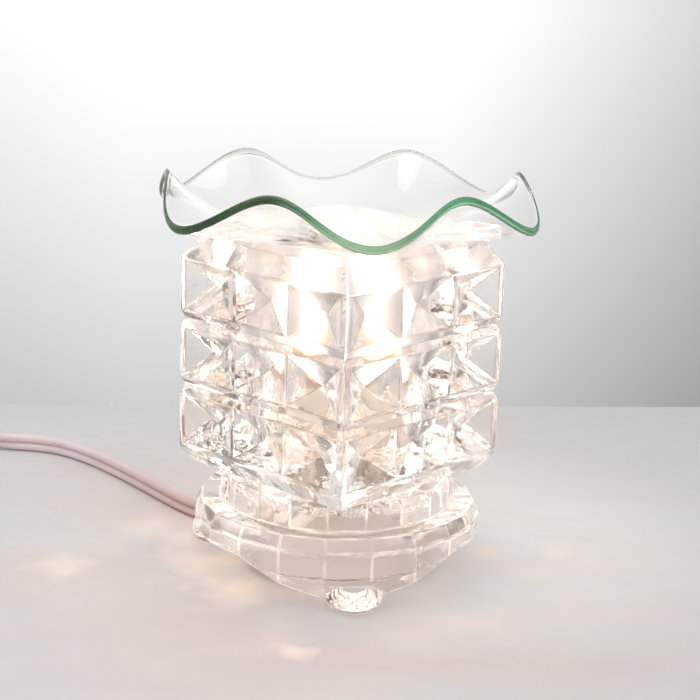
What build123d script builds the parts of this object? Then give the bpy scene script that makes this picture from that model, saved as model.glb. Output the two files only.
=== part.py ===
from build123d import *
import os
from math import cos, hypot, pi, radians, sin, sqrt, tan

os.makedirs("parts", exist_ok=True)

# An electric wax melt warmer: a wavy glass dish on a square pressed glass body over a round
# glass base, lit by a halogen capsule on a lamp pipe, with a flat twin cord, a cord switch and a plug.
# Millimetres, +Z up, the floor at z = 0 and the lamp axis on Z. A corner of the body faces -Y.

# Glass dish
dish_radius = 60.0
dish_thickness = 2.7
dish_flat_radius = 30.0
dish_rise = 11.0
dish_waves = 6
dish_wave_height = 6.0
dish_wave_flare = 3.2
dish_wave_turn = 6.3
dish_seat_gap = 0.3
dish_rise_power = 1.5
dish_wave_power = 1.6
dish_rings = 5
points_per_wave = 8

# Glass body
body_side = 73.2
body_height = 77.0
body_floor = 8.0
body_bore = 50.0
bevel_inset = 3.4
bevel_height = 5.0
pit_rows = 3
pit_columns = 3
row_pitch = 22.2
lowest_row = 3.9
pit_depth = 5.0
pit_rim = 0.5
groove_half_width = 2.6
groove_depth = 1.1
corner_strip = 2.5
rib_width = 1.3
shoulder_inset = 4.2
shoulder_height = 6.8
lip_inset = 7.6
lip_height = 2.2
pit_overcut = 1.0

# Glass base
base_radius = 47.0
base_facets = 20
base_facet_turn = -5.3
base_skirt_height = 14.7
base_bevel_height = 4.2
base_bevel_inset = 2.2
neck_radius = 38.6
neck_height = 7.4
neck_chamfer = 1.4
base_top_wall = 7.0
base_cavity_radius = 28.5
cover_ledge_radius = 31.3
cover_ledge_depth = 2.0
foot_height = 4.3
foot_radius = 8.8
foot_thickness = 8.6
foot_round = 3.9
foot_circle_radius = 43.0
foot_count = 3
foot_turn = 6.7
lobe_width = 66.0
lobe_height = 9.0
lobe_sink = 0.2
lobe_turn = 4.0
cover_seat_radius = 32.5
cord_notch_width = 8.0
cord_notch_height = 3.8

# Lamp pipe and its fasteners
pipe_diameter = 10.0
pipe_bore = 8.4
pipe_clearance = 0.3
gasket_thickness = 1.0
gasket_outer_radius = 30.0
gasket_inner_radius = 20.0
washer_radius = 11.0
rubber_washer_thickness = 1.2
steel_washer_thickness = 1.0
nut_across_flats = 15.0
nut_thickness = 5.0
nut_chamfer = 0.8
thread_clearance = 0.05
pipe_end_beyond_nut = 1.2

# Lamp socket and its bracket
bracket_length = 38.0
bracket_width = 14.0
bracket_thickness = 1.2
socket_length = 38.0
socket_width = 21.0
socket_flange_height = 8.0
socket_barrel_radius = 10.0
socket_height = 19.8
socket_cavity_radius = 9.6
socket_cavity_height = 7.2
socket_round = 1.0
socket_screw_spacing = 30.0
screw_diameter = 3.0
screw_hole_clearance = 0.2
screw_head_diameter = 5.6
screw_head_height = 2.0
screw_slot_width = 0.8
screw_slot_depth = 0.8
screw_recess = 2.4

# Halogen capsule
pin_spacing = 6.35
pin_diameter = 1.0
pin_length = 8.0
pin_embed = 3.0
pin_fit = 0.05
pin_hole_clearance = 0.3
contact_diameter = 3.6
contact_length = 8.4
contact_tail_diameter = 1.6
contact_tail_length = 2.2
contact_clearance = 0.1
contact_cap = 1.6
capsule_seat_gap = 0.3
pinch_width = 10.0
pinch_thickness = 4.2
pinch_height = 7.0
pinch_round = 1.2
capsule_diameter = 11.6
capsule_height = 26.0
capsule_wall = 0.9
filament_diameter = 2.0
filament_length = 10.0
filament_height = 13.0
filament_lead_diameter = 0.6
filament_lead_spacing = 3.2

# Bottom cover, strain relief and inner leads
cover_thickness = 1.8
cover_clearance = 0.4
strain_relief_length = 13.0
strain_relief_width = 11.0
strain_relief_height = 7.6
strain_relief_floor_gap = 0.4
strain_relief_round = 1.0
strain_relief_clearance = 0.3
lead_diameter = 1.6
lead_height = 12.6
lead_bend_radius = 3.6

# Flat twin cord
cord_width = 6.4
cord_thickness = 3.2
coil_outer_radius = 45.5
coil_turn_gap = 0.6
coil_inward_half_turns = 6
coil_outward_half_turns = 5

# Cord tie
tie_thickness = 0.6
tie_width = 9.0
tie_clearance = 0.4
tie_round = 2.0
tie_angle = 20.0

# Cord switch
switch_length = 40.0
switch_width = 22.0
switch_height = 11.0
switch_wall = 1.6
switch_round = 3.0
switch_wheel_radius = 12.6
switch_wheel_thickness = 4.2
switch_wheel_clearance = 0.4
switch_wheel_notches = 30
switch_notch_radius = 0.5
switch_pin_diameter = 3.0
switch_pin_fit = 0.05
switch_pin_hold = 1.4
switch_screw_spacing = 32.4
switch_screw_diameter = 2.4
switch_screw_head_diameter = 4.4
switch_screw_head_height = 1.4
switch_screw_reach = 3.2

# Plug
plug_length = 27.0
plug_width = 24.0
plug_tail_width = 13.0
plug_round = 2.4
blade_spacing = 12.7
blade_width = 6.4
blade_thickness = 1.5
blade_length = 16.5
blade_embed = 6.0
blade_round = 1.2
blade_fit = 0.05

# Heights that follow from the sizes above
base_bottom = foot_height
base_ledge = base_bottom + base_skirt_height + base_bevel_height
base_top = base_ledge + neck_height + neck_chamfer
base_ceiling = base_top - base_top_wall
body_bottom = base_top + gasket_thickness
body_inside = body_bottom + body_floor
body_top = body_bottom + body_height
dish_bottom = body_top + dish_seat_gap
upper_rubber_bottom = body_inside
upper_washer_bottom = upper_rubber_bottom + rubber_washer_thickness
bracket_bottom = upper_washer_bottom + steel_washer_thickness
bracket_top = bracket_bottom + bracket_thickness
upper_nut_top = bracket_top + nut_thickness
pipe_top = upper_nut_top + pipe_end_beyond_nut
lower_rubber_bottom = base_ceiling - rubber_washer_thickness
lower_washer_bottom = lower_rubber_bottom - steel_washer_thickness
lower_nut_bottom = lower_washer_bottom - nut_thickness
pipe_bottom = lower_nut_bottom - pipe_end_beyond_nut
socket_bottom = bracket_top
socket_top = socket_bottom + socket_height
socket_cavity_top = socket_bottom + socket_cavity_height
contact_top = socket_top - contact_cap
contact_bottom = contact_top - contact_length
contact_tail_bottom = contact_bottom - contact_tail_length
capsule_bottom = socket_top + capsule_seat_gap
cover_top = base_bottom + cover_ledge_depth
cover_bottom = cover_top - cover_thickness

# The cord's way: points chosen by hand on the floor, from the strain relief to the switch
cord_low = cord_thickness / 2
switch_middle = switch_height / 2
cord_start = Vector(-19.0, 18.2, cord_low)
cord_route = [
    cord_start,
    Vector(-33.5, 27.9, cord_low),
    Vector(-49.5, 39.0, cord_low),
    Vector(-65.8, 57.2, cord_low),
    Vector(-84.0, 76.0, cord_low),
    Vector(-106.0, 95.8, cord_low),
    Vector(-123.0, 107.0, cord_low + 0.6),
    Vector(-138.0, 113.5, switch_middle),
    Vector(-149.0, 118.0, switch_middle),
]
exit_heading = (cord_route[1] - cord_route[0]).normalized()
switch_heading = (cord_route[-1] - cord_route[-2]).normalized()
switch_start = cord_route[-1]
switch_end = switch_start + switch_heading * switch_length
up = Vector(0, 0, 1)


def level_side(heading):
    """The level direction to the left of a heading."""
    return up.cross(heading).normalized()


def along(heading, origin):
    """A plane square to a heading, with its x axis level and its y axis up."""
    return Plane(origin=origin, x_dir=level_side(heading), z_dir=heading)


def bend_radii(route):
    """The largest even bend at each inner corner of a route."""
    radii = []
    for before, corner, after in zip(route, route[1:], route[2:]):
        first = corner - before
        second = after - corner
        turn = radians(first.get_angle(second))
        radii.append(0.45 * min(first.length, second.length) / tan(turn / 2))
    return radii


# Glass dish: rings out along the underside and back along the top
def dish_ring(share, height):
    ring_points = []
    for step in range(dish_waves * points_per_wave):
        angle = 2 * pi * step / (dish_waves * points_per_wave)
        wave = cos(dish_waves * (angle - radians(dish_wave_turn)))
        swell = share**dish_wave_power * wave
        radius = dish_flat_radius + (dish_radius - dish_flat_radius) * share + dish_wave_flare * swell
        level = height + dish_rise * share**dish_rise_power - dish_wave_height * swell
        ring_points.append(Vector(radius * sin(angle), -radius * cos(angle), level))
    return Wire([Edge.make_spline(ring_points, periodic=True)])


dish_shares = [ring / (dish_rings - 1) for ring in range(dish_rings)]
dish_skin = [dish_ring(share, dish_bottom) for share in dish_shares]
dish_skin += [dish_ring(share, dish_bottom + dish_thickness) for share in reversed(dish_shares)]
with BuildPart() as wax_dish:
    add(Solid.make_loft(dish_skin, ruled=True))
wax_dish.part.label = "wax_dish"
export_step(wax_dish.part, "parts/wax_dish.step")

# Glass body: stacked square sections, pyramid pits in every face, a round bore and a pipe hole
body_half = body_side / 2
first_groove = body_bottom + lowest_row
body_sections = [(body_bottom, body_half - bevel_inset), (body_bottom + bevel_height, body_half)]
for row in range(1, pit_rows):
    groove = first_groove + row * row_pitch
    body_sections.append((groove - groove_half_width, body_half))
    body_sections.append((groove, body_half - groove_depth))
    body_sections.append((groove + groove_half_width, body_half))
body_sections.append((body_top - lip_height - shoulder_height, body_half))
body_sections.append((body_top - lip_height, body_half - shoulder_inset))
body_sections.append((body_top, body_half - lip_inset))

pit_width = (body_side - 2 * corner_strip - (pit_columns - 1) * rib_width) / pit_columns
pit_height = row_pitch - 2 * groove_half_width - 2 * pit_rim
pit_spread = (pit_depth + pit_overcut) / pit_depth
with BuildPart() as pit:
    with BuildSketch(Plane.XY.offset(pit_overcut)) as pit_mouth:
        Rectangle(pit_width * pit_spread, pit_height * pit_spread)
    loft(sections=[pit_mouth.sketch.face(), Vertex(0, 0, -pit_depth)])

pit_places = []
for side in range(4):
    facing = Vector(1, 0, 0).rotate(Axis.Z, 45 + 90 * side)
    for row in range(pit_rows):
        for column in range(pit_columns):
            sideways = (column - (pit_columns - 1) / 2) * (pit_width + rib_width)
            height = first_groove + (row + 0.5) * row_pitch
            origin = facing * body_half + level_side(facing) * sideways + up * height
            pit_places.append(Plane(origin=origin, x_dir=level_side(facing), z_dir=facing).location)

with BuildPart() as glass_body:
    for level, half in body_sections:
        with BuildSketch(Plane.XY.offset(level)):
            Rectangle(2 * half, 2 * half, rotation=45)
    loft(ruled=True)
    with Locations(*pit_places):
        add(pit.part, mode=Mode.SUBTRACT)
    with BuildSketch(Plane.XY.offset(body_inside)):
        Circle(body_bore / 2)
    extrude(amount=body_top - body_inside, mode=Mode.SUBTRACT)
    with BuildSketch(Plane.XY.offset(body_bottom)):
        Circle(pipe_diameter / 2 + pipe_clearance)
    extrude(amount=body_floor, mode=Mode.SUBTRACT)
glass_body.part.label = "glass_body"
export_step(glass_body.part, "parts/glass_body.step")

# Glass base: three rounded lobes over moulded feet, a faceted skirt and a neck, hollow underneath
facet_rotation = base_facet_turn - 90
with BuildPart() as base_skirt:
    for level, radius in (
        (base_bottom + lobe_height, base_radius),
        (base_bottom + base_skirt_height, base_radius),
        (base_ledge, base_radius - base_bevel_inset),
    ):
        with BuildSketch(Plane.XY.offset(level)):
            RegularPolygon(radius, base_facets, rotation=facet_rotation)
    loft(ruled=True)

with BuildPart() as base_neck:
    for level, radius in (
        (base_ledge, neck_radius),
        (base_ledge + neck_height, neck_radius),
        (base_top, neck_radius - neck_chamfer),
    ):
        with BuildSketch(Plane.XY.offset(level)):
            RegularPolygon(radius, base_facets, rotation=facet_rotation)
    loft(ruled=True)

lobe_rise = lobe_height + lobe_sink
lobe_radius = (lobe_width**2 / 4 + lobe_rise**2) / (2 * lobe_rise)
lobe_middle = base_bottom - lobe_sink + lobe_radius
with BuildPart() as base_lobes:
    with BuildSketch(Plane.XY.offset(base_bottom)):
        Circle(cover_seat_radius)
    extrude(amount=lobe_height)
    for lobe in range(foot_count):
        outward = Vector(0, -1, 0).rotate(Axis.Z, lobe_turn + 360 * lobe / foot_count)
        with BuildSketch(along(outward, up * lobe_middle)):
            Circle(lobe_radius)
        extrude(amount=base_radius)
    with BuildSketch(Plane.XY.offset(base_bottom)):
        RegularPolygon(base_radius, base_facets, rotation=facet_rotation)
    extrude(amount=lobe_height, mode=Mode.INTERSECT)

with BuildPart() as foot:
    with BuildSketch():
        Circle(foot_radius)
    extrude(amount=foot_thickness)
    fillet(foot.edges(), foot_round)

with BuildPart() as glass_base:
    add(base_lobes.part)
    add(base_skirt.part)
    add(base_neck.part)
    with PolarLocations(foot_circle_radius, foot_count, start_angle=foot_turn - 90):
        add(foot.part)
    with BuildSketch(Plane.XY.offset(base_bottom)):
        Circle(cover_ledge_radius)
    extrude(amount=cover_ledge_depth, mode=Mode.SUBTRACT)
    with BuildSketch(Plane.XY.offset(base_bottom)):
        Circle(base_cavity_radius)
    extrude(amount=base_ceiling - base_bottom, mode=Mode.SUBTRACT)
    with BuildSketch(Plane.XY.offset(base_ceiling)):
        Circle(pipe_diameter / 2 + pipe_clearance)
    extrude(amount=base_top_wall, mode=Mode.SUBTRACT)
    with BuildSketch(along(exit_heading, cord_start)):
        with Locations((0, base_bottom + cord_notch_height - cord_low)):
            SlotOverall(cord_notch_width, cord_notch_height, align=(Align.CENTER, Align.MAX))
        with Locations((0, base_bottom + cord_notch_height / 2 - cord_low)):
            Rectangle(cord_notch_width, cord_notch_height, align=(Align.CENTER, Align.MAX))
    extrude(amount=2 * base_radius, mode=Mode.SUBTRACT)
glass_base.part.label = "glass_base"
export_step(glass_base.part, "parts/glass_base.step")

# Clear seating ring between base and body
with BuildPart() as body_gasket:
    with BuildSketch(Plane.XY.offset(base_top)):
        Circle(gasket_outer_radius)
        Circle(gasket_inner_radius, mode=Mode.SUBTRACT)
    extrude(amount=gasket_thickness)
body_gasket.part.label = "body_gasket"
export_step(body_gasket.part, "parts/body_gasket.step")

# Threaded lamp pipe that clamps body and base together
with BuildPart() as lamp_pipe:
    with BuildSketch(Plane.XY.offset(pipe_bottom)):
        Circle(pipe_diameter / 2)
        Circle(pipe_bore / 2, mode=Mode.SUBTRACT)
    extrude(amount=pipe_top - pipe_bottom)
lamp_pipe.part.label = "lamp_pipe"
export_step(lamp_pipe.part, "parts/lamp_pipe.step")

# Washers and nuts on the pipe
pipe_hole_radius = pipe_diameter / 2 + thread_clearance
with BuildPart() as upper_rubber_washer:
    with BuildSketch(Plane.XY.offset(upper_rubber_bottom)):
        Circle(washer_radius)
        Circle(pipe_hole_radius, mode=Mode.SUBTRACT)
    extrude(amount=rubber_washer_thickness)
upper_rubber_washer.part.label = "upper_rubber_washer"
export_step(upper_rubber_washer.part, "parts/upper_rubber_washer.step")

with BuildPart() as upper_washer:
    with BuildSketch(Plane.XY.offset(upper_washer_bottom)):
        Circle(washer_radius)
        Circle(pipe_hole_radius, mode=Mode.SUBTRACT)
    extrude(amount=steel_washer_thickness)
upper_washer.part.label = "upper_washer"
export_step(upper_washer.part, "parts/upper_washer.step")

with BuildPart() as lower_rubber_washer:
    with BuildSketch(Plane.XY.offset(lower_rubber_bottom)):
        Circle(washer_radius)
        Circle(pipe_hole_radius, mode=Mode.SUBTRACT)
    extrude(amount=rubber_washer_thickness)
lower_rubber_washer.part.label = "lower_rubber_washer"
export_step(lower_rubber_washer.part, "parts/lower_rubber_washer.step")

with BuildPart() as lower_washer:
    with BuildSketch(Plane.XY.offset(lower_washer_bottom)):
        Circle(washer_radius)
        Circle(pipe_hole_radius, mode=Mode.SUBTRACT)
    extrude(amount=steel_washer_thickness)
lower_washer.part.label = "lower_washer"
export_step(lower_washer.part, "parts/lower_washer.step")

nut_corner_radius = nut_across_flats / sqrt(3)
with BuildPart() as upper_nut:
    with BuildSketch(Plane.XY.offset(bracket_top)):
        RegularPolygon(nut_corner_radius, 6)
        Circle(pipe_hole_radius, mode=Mode.SUBTRACT)
    extrude(amount=nut_thickness)
    chamfer(upper_nut.edges().filter_by(GeomType.CIRCLE), nut_chamfer / 2)
upper_nut.part.label = "upper_nut"
export_step(upper_nut.part, "parts/upper_nut.step")

with BuildPart() as lower_nut:
    with BuildSketch(Plane.XY.offset(lower_nut_bottom)):
        RegularPolygon(nut_corner_radius, 6)
        Circle(pipe_hole_radius, mode=Mode.SUBTRACT)
    extrude(amount=nut_thickness)
    chamfer(lower_nut.edges().filter_by(GeomType.CIRCLE), nut_chamfer / 2)
lower_nut.part.label = "lower_nut"
export_step(lower_nut.part, "parts/lower_nut.step")

# Lamp socket on its steel strap; its long side lies across the leads
strap_plane = Plane(origin=(0, 0, bracket_bottom), x_dir=exit_heading, z_dir=up)
socket_plane = Plane(origin=(0, 0, socket_bottom), x_dir=exit_heading, z_dir=up)
with BuildPart() as socket_bracket:
    with BuildSketch(strap_plane):
        SlotOverall(bracket_length, bracket_width)
        Circle(pipe_hole_radius, mode=Mode.SUBTRACT)
        with GridLocations(socket_screw_spacing, 0, 2, 1):
            Circle(screw_diameter / 2 + thread_clearance, mode=Mode.SUBTRACT)
    extrude(amount=bracket_thickness)
socket_bracket.part.label = "socket_bracket"
export_step(socket_bracket.part, "parts/socket_bracket.step")

with BuildPart() as lamp_socket:
    with BuildSketch(socket_plane):
        SlotOverall(socket_length, socket_width)
    extrude(amount=socket_flange_height)
    fillet(lamp_socket.faces().sort_by(Axis.Z)[-1].edges(), socket_round)
    with BuildSketch(socket_plane.offset(socket_flange_height - socket_round)):
        Circle(socket_barrel_radius)
    extrude(amount=socket_height - socket_flange_height + socket_round)
    fillet(lamp_socket.faces().sort_by(Axis.Z)[-1].edges(), socket_round)
    with BuildSketch(socket_plane):
        Circle(socket_cavity_radius)
    extrude(amount=socket_cavity_height, mode=Mode.SUBTRACT)
    with BuildSketch(socket_plane):
        with GridLocations(socket_screw_spacing, 0, 2, 1):
            Circle(screw_diameter / 2 + screw_hole_clearance)
    extrude(amount=socket_flange_height, mode=Mode.SUBTRACT)
    with BuildSketch(socket_plane.offset(socket_flange_height - screw_recess)):
        with GridLocations(socket_screw_spacing, 0, 2, 1):
            Circle(screw_head_diameter / 2 + screw_hole_clearance)
    extrude(amount=screw_recess, mode=Mode.SUBTRACT)
    with BuildSketch(socket_plane.offset(socket_cavity_height)):
        with GridLocations(0, pin_spacing, 1, 2):
            Circle(contact_diameter / 2 + contact_clearance)
    extrude(amount=contact_top - socket_cavity_top, mode=Mode.SUBTRACT)
    with BuildSketch(socket_plane.offset(contact_top - socket_bottom)):
        with GridLocations(0, pin_spacing, 1, 2):
            Circle(pin_diameter / 2 + pin_hole_clearance)
    extrude(amount=socket_top - contact_top, mode=Mode.SUBTRACT)
lamp_socket.part.label = "lamp_socket"
export_step(lamp_socket.part, "parts/lamp_socket.step")

screw_seat = socket_flange_height - screw_recess
with BuildPart() as socket_screws:
    with BuildSketch(strap_plane):
        with GridLocations(socket_screw_spacing, 0, 2, 1):
            Circle(screw_diameter / 2)
    extrude(amount=bracket_thickness + screw_seat)
    with BuildSketch(socket_plane.offset(screw_seat)):
        with GridLocations(socket_screw_spacing, 0, 2, 1):
            Circle(screw_head_diameter / 2)
    extrude(amount=screw_head_height)
    with BuildSketch(socket_plane.offset(screw_seat + screw_head_height - screw_slot_depth)):
        with GridLocations(socket_screw_spacing, 0, 2, 1):
            Rectangle(screw_head_diameter, screw_slot_width, rotation=40)
    extrude(amount=screw_slot_depth, mode=Mode.SUBTRACT)
socket_screws.part.label = "socket_screws"
export_step(socket_screws.part, "parts/socket_screws.step")

with BuildPart() as socket_contacts:
    with BuildSketch(socket_plane.offset(contact_bottom - socket_bottom)):
        with GridLocations(0, pin_spacing, 1, 2):
            Circle(contact_diameter / 2)
    extrude(amount=contact_length)
    with BuildSketch(socket_plane.offset(contact_tail_bottom - socket_bottom)):
        with GridLocations(0, pin_spacing, 1, 2):
            Circle(contact_tail_diameter / 2)
    extrude(amount=contact_tail_length)
    with BuildSketch(socket_plane.offset(contact_bottom + pin_fit - socket_bottom)):
        with GridLocations(0, pin_spacing, 1, 2):
            Circle(pin_diameter / 2 + pin_fit)
    extrude(amount=contact_length, mode=Mode.SUBTRACT)
socket_contacts.part.label = "socket_contacts"
export_step(socket_contacts.part, "parts/socket_contacts.step")

# Halogen capsule: quartz envelope with a flat pinch, pins and filament
capsule_plane = Plane(origin=(0, 0, capsule_bottom), x_dir=exit_heading, z_dir=up)
pinch_top = capsule_bottom + pinch_height
capsule_radius = capsule_diameter / 2
capsule_inner_radius = capsule_radius - capsule_wall
dome_level = pinch_top + capsule_height - capsule_radius
bowl_level = pinch_top + capsule_radius
with BuildPart() as bulb_envelope:
    with BuildSketch(capsule_plane):
        RectangleRounded(pinch_thickness, pinch_width, pinch_round)
    extrude(amount=pinch_height + capsule_radius - capsule_inner_radius)
    with BuildSketch(Plane.XZ):
        with BuildLine():
            Line((0, pinch_top), (0, pinch_top + capsule_height))
            RadiusArc((0, pinch_top + capsule_height), (capsule_radius, dome_level), capsule_radius)
            Line((capsule_radius, dome_level), (capsule_radius, bowl_level))
            RadiusArc((capsule_radius, bowl_level), (0, pinch_top), capsule_radius)
        make_face()
    revolve(axis=Axis.Z)
    with BuildSketch(Plane.XZ):
        with BuildLine():
            Line((0, pinch_top + capsule_wall), (0, pinch_top + capsule_height - capsule_wall))
            RadiusArc(
                (0, pinch_top + capsule_height - capsule_wall),
                (capsule_inner_radius, dome_level),
                capsule_inner_radius,
            )
            Line((capsule_inner_radius, dome_level), (capsule_inner_radius, bowl_level))
            RadiusArc(
                (capsule_inner_radius, bowl_level), (0, pinch_top + capsule_wall), capsule_inner_radius
            )
        make_face()
    revolve(axis=Axis.Z, mode=Mode.SUBTRACT)
    with BuildSketch(capsule_plane):
        with GridLocations(0, pin_spacing, 1, 2):
            Circle(pin_diameter / 2 + pin_fit)
    extrude(amount=pin_embed, mode=Mode.SUBTRACT)
bulb_envelope.part.label = "bulb_envelope"
export_step(bulb_envelope.part, "parts/bulb_envelope.step")

with BuildPart() as bulb_pins:
    with BuildSketch(capsule_plane.offset(pin_embed - pin_fit)):
        with GridLocations(0, pin_spacing, 1, 2):
            Circle(pin_diameter / 2)
    extrude(amount=-(pin_length + pin_embed))
    chamfer(bulb_pins.faces().sort_by(Axis.Z)[:2].edges(), pin_diameter / 5)
bulb_pins.part.label = "bulb_pins"
export_step(bulb_pins.part, "parts/bulb_pins.step")

filament_middle = pinch_top + filament_height
with BuildPart() as bulb_filament:
    with BuildSketch(Plane.XY.offset(filament_middle - filament_length / 2)):
        Circle(filament_diameter / 2)
    extrude(amount=filament_length)
    for place in (-filament_lead_spacing / 2, filament_lead_spacing / 2):
        end = filament_middle + filament_length / 2 * (1 if place > 0 else -1)
        post = capsule_plane.y_dir * place
        with BuildSketch(Plane(origin=post + up * (pinch_top + capsule_radius / 3), z_dir=up)):
            Circle(filament_lead_diameter / 2)
        extrude(amount=end - pinch_top - capsule_radius / 3)
        with BuildSketch(Plane(origin=post + up * end, x_dir=up, z_dir=post.normalized() * -1)):
            Circle(filament_lead_diameter / 2)
        extrude(amount=filament_lead_spacing / 2)
bulb_filament.part.label = "bulb_filament"
export_step(bulb_filament.part, "parts/bulb_filament.step")

# Bottom cover and the strain relief moulded through it
relief_plane = Plane(
    origin=cord_start - exit_heading * (strain_relief_length / 2) + up * (strain_relief_floor_gap - cord_low),
    x_dir=exit_heading,
    z_dir=up,
)
with BuildPart() as strain_relief:
    with BuildSketch(relief_plane):
        Rectangle(strain_relief_length, strain_relief_width)
    extrude(amount=strain_relief_height)
    fillet(strain_relief.edges().filter_by(Axis.Z), strain_relief_round)
strain_relief.part.label = "strain_relief"
export_step(strain_relief.part, "parts/strain_relief.step")

with BuildPart() as bottom_cover:
    with BuildSketch(Plane.XY.offset(cover_bottom)):
        Circle(cover_ledge_radius - cover_clearance)
    extrude(amount=cover_thickness)
    with BuildSketch(relief_plane):
        RectangleRounded(
            strain_relief_length + 2 * strain_relief_clearance,
            strain_relief_width + 2 * strain_relief_clearance,
            strain_relief_round + strain_relief_clearance,
        )
    extrude(amount=cover_top, mode=Mode.SUBTRACT)
bottom_cover.part.label = "bottom_cover"
export_step(bottom_cover.part, "parts/bottom_cover.step")

# Two insulated leads from the strain relief up the pipe to the contacts
lead_side = level_side(exit_heading)
relief_top = strain_relief_floor_gap + strain_relief_height
lead_foot = cord_start - exit_heading * (strain_relief_length / 2) - up * cord_low
with BuildPart() as lead_wires:
    for place in (-1, 1):
        foot_point = lead_foot + lead_side * (place * cord_width / 4) + up * relief_top
        centre_point = lead_side * (place * pin_spacing / 2)
        with BuildLine() as lead_line:
            FilletPolyline(
                foot_point,
                foot_point + up * (lead_height - relief_top),
                centre_point + up * lead_height,
                centre_point + up * contact_tail_bottom,
                radius=lead_bend_radius,
            )
        with BuildSketch(Plane(origin=foot_point, z_dir=up)):
            Circle(lead_diameter / 2)
        sweep(path=lead_line.line)
lead_wires.part.label = "lead_wires"
export_step(lead_wires.part, "parts/lead_wires.step")

# Free cord from the strain relief to the switch
route_radii = bend_radii(cord_route)
print("cord bend radii", [round(radius, 1) for radius in route_radii])
with BuildPart() as power_cord:
    with BuildLine() as cord_line:
        FilletPolyline(*cord_route, radius=route_radii)
    with BuildSketch(along(exit_heading, cord_start)):
        SlotOverall(cord_width, cord_thickness)
    sweep(path=cord_line.line)
power_cord.part.label = "power_cord"
export_step(power_cord.part, "parts/power_cord.step")
cord_section = (cord_width - cord_thickness) * cord_thickness + pi * cord_thickness**2 / 4
cord_length = cord_line.wire().length
print("power cord length", round(cord_length, 1))
print("power cord volume share", round(power_cord.part.volume / cord_section / cord_length, 4))

# Coil: half turns of a spiral in, a climb, and a spiral out, on a line through its centre
coil_lift = tie_thickness + tie_clearance
coil_low = coil_lift + cord_low
coil_high = coil_low + cord_thickness + coil_turn_gap
turn_step = (cord_width + coil_turn_gap) / 2
tail_drop = coil_low - switch_middle
tail_route = [
    switch_end,
    switch_end + switch_heading * 10.0,
    switch_end + Vector(-20.3, 4.0, tail_drop / 2),
    switch_end + Vector(-30.6, 0.2, tail_drop),
    switch_end + Vector(-38.9, -7.0, tail_drop),
    switch_end + Vector(-47.4, -20.6, tail_drop),
    switch_end + Vector(-54.2, -34.0, tail_drop),
]
coil_heading = (tail_route[-1] - tail_route[-2]).normalized()
coil_start = tail_route[-1]
coil_first = coil_start + coil_heading * cord_width
coil_axis = level_side(coil_heading) * -1
coil_centre = coil_first - coil_axis * coil_outer_radius
inner_radius = coil_outer_radius - coil_inward_half_turns * turn_step
coil_reaches = [coil_outer_radius - turn * turn_step for turn in range(coil_inward_half_turns + 1)]
coil_levels = [coil_low] * len(coil_reaches)
coil_reaches.append(inner_radius - turn_step)
coil_levels.append(coil_high)
for turn in range(coil_outward_half_turns):
    coil_reaches.append(inner_radius + (turn + 2) * turn_step)
    coil_levels.append(coil_high)
coil_points = []
for turn, (reach, level) in enumerate(zip(coil_reaches, coil_levels)):
    side = 1 if turn % 2 == 0 else -1
    coil_points.append(coil_centre + coil_axis * (reach * side) + up * (level - coil_low))
last_heading = coil_heading * (1 if len(coil_points) % 2 == 1 else -1)
plug_reach = coil_outer_radius + cord_width / 2 + coil_turn_gap + plug_width / 2
coil_leave = coil_centre + last_heading * plug_reach + up * (coil_high - coil_low)

with BuildPart() as cord_coil:
    with BuildLine() as coil_line:
        Line(coil_start, coil_first)
        for turn, (here, there) in enumerate(zip(coil_points, coil_points[1:])):
            heading = coil_heading * (1 if turn % 2 == 0 else -1)
            reach = (there - here).length / 2
            middle = (here + there) * 0.5 + heading * reach
            TangentArc(here, middle, tangent=heading)
            TangentArc(middle, there, tangent=coil_line.line % 1)
        TangentArc(coil_points[-1], coil_leave, tangent=last_heading)
        plug_heading = coil_line.line % 1
        coil_end = coil_leave + plug_heading * cord_width
        Line(coil_leave, coil_end)
    with BuildSketch(along(coil_heading, coil_start)):
        SlotOverall(cord_width, cord_thickness)
    sweep(path=coil_line.line)
cord_coil.part.label = "cord_coil"
export_step(cord_coil.part, "parts/cord_coil.step")
coil_length = coil_line.wire().length
print("coil length", round(coil_length, 1))
print("coil volume share", round(cord_coil.part.volume / cord_section / coil_length, 4))

# Least gap of the coil to itself, on points along it
sample_step = 2.0
sample_count = int(coil_length / sample_step)
coil_samples = [coil_line.wire() @ (step / sample_count) for step in range(sample_count + 1)]
least_gap = coil_length
for first in range(len(coil_samples)):
    for second in range(first + int(6 * cord_width / sample_step), len(coil_samples)):
        apart = coil_samples[second] - coil_samples[first]
        gap = max(hypot(apart.X, apart.Y) - cord_width, abs(apart.Z) - cord_thickness)
        least_gap = min(least_gap, gap)
print("least gap in the coil", round(least_gap, 2))

# Cord between the switch and the coil
tail_radii = bend_radii(tail_route)
print("tail bend radii", [round(radius, 1) for radius in tail_radii])
with BuildPart() as switch_cord:
    with BuildLine() as tail_line:
        FilletPolyline(*tail_route, radius=tail_radii)
    with BuildSketch(along(switch_heading, switch_end)):
        SlotOverall(cord_width, cord_thickness)
    sweep(path=tail_line.line)
switch_cord.part.label = "switch_cord"
export_step(switch_cord.part, "parts/switch_cord.step")
tail_length = tail_line.wire().length
print("tail length", round(tail_length, 1))
print("tail volume share", round(switch_cord.part.volume / cord_section / tail_length, 4))
print("whole cord", round(cord_length + switch_length + tail_length + coil_length, 1))

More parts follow.
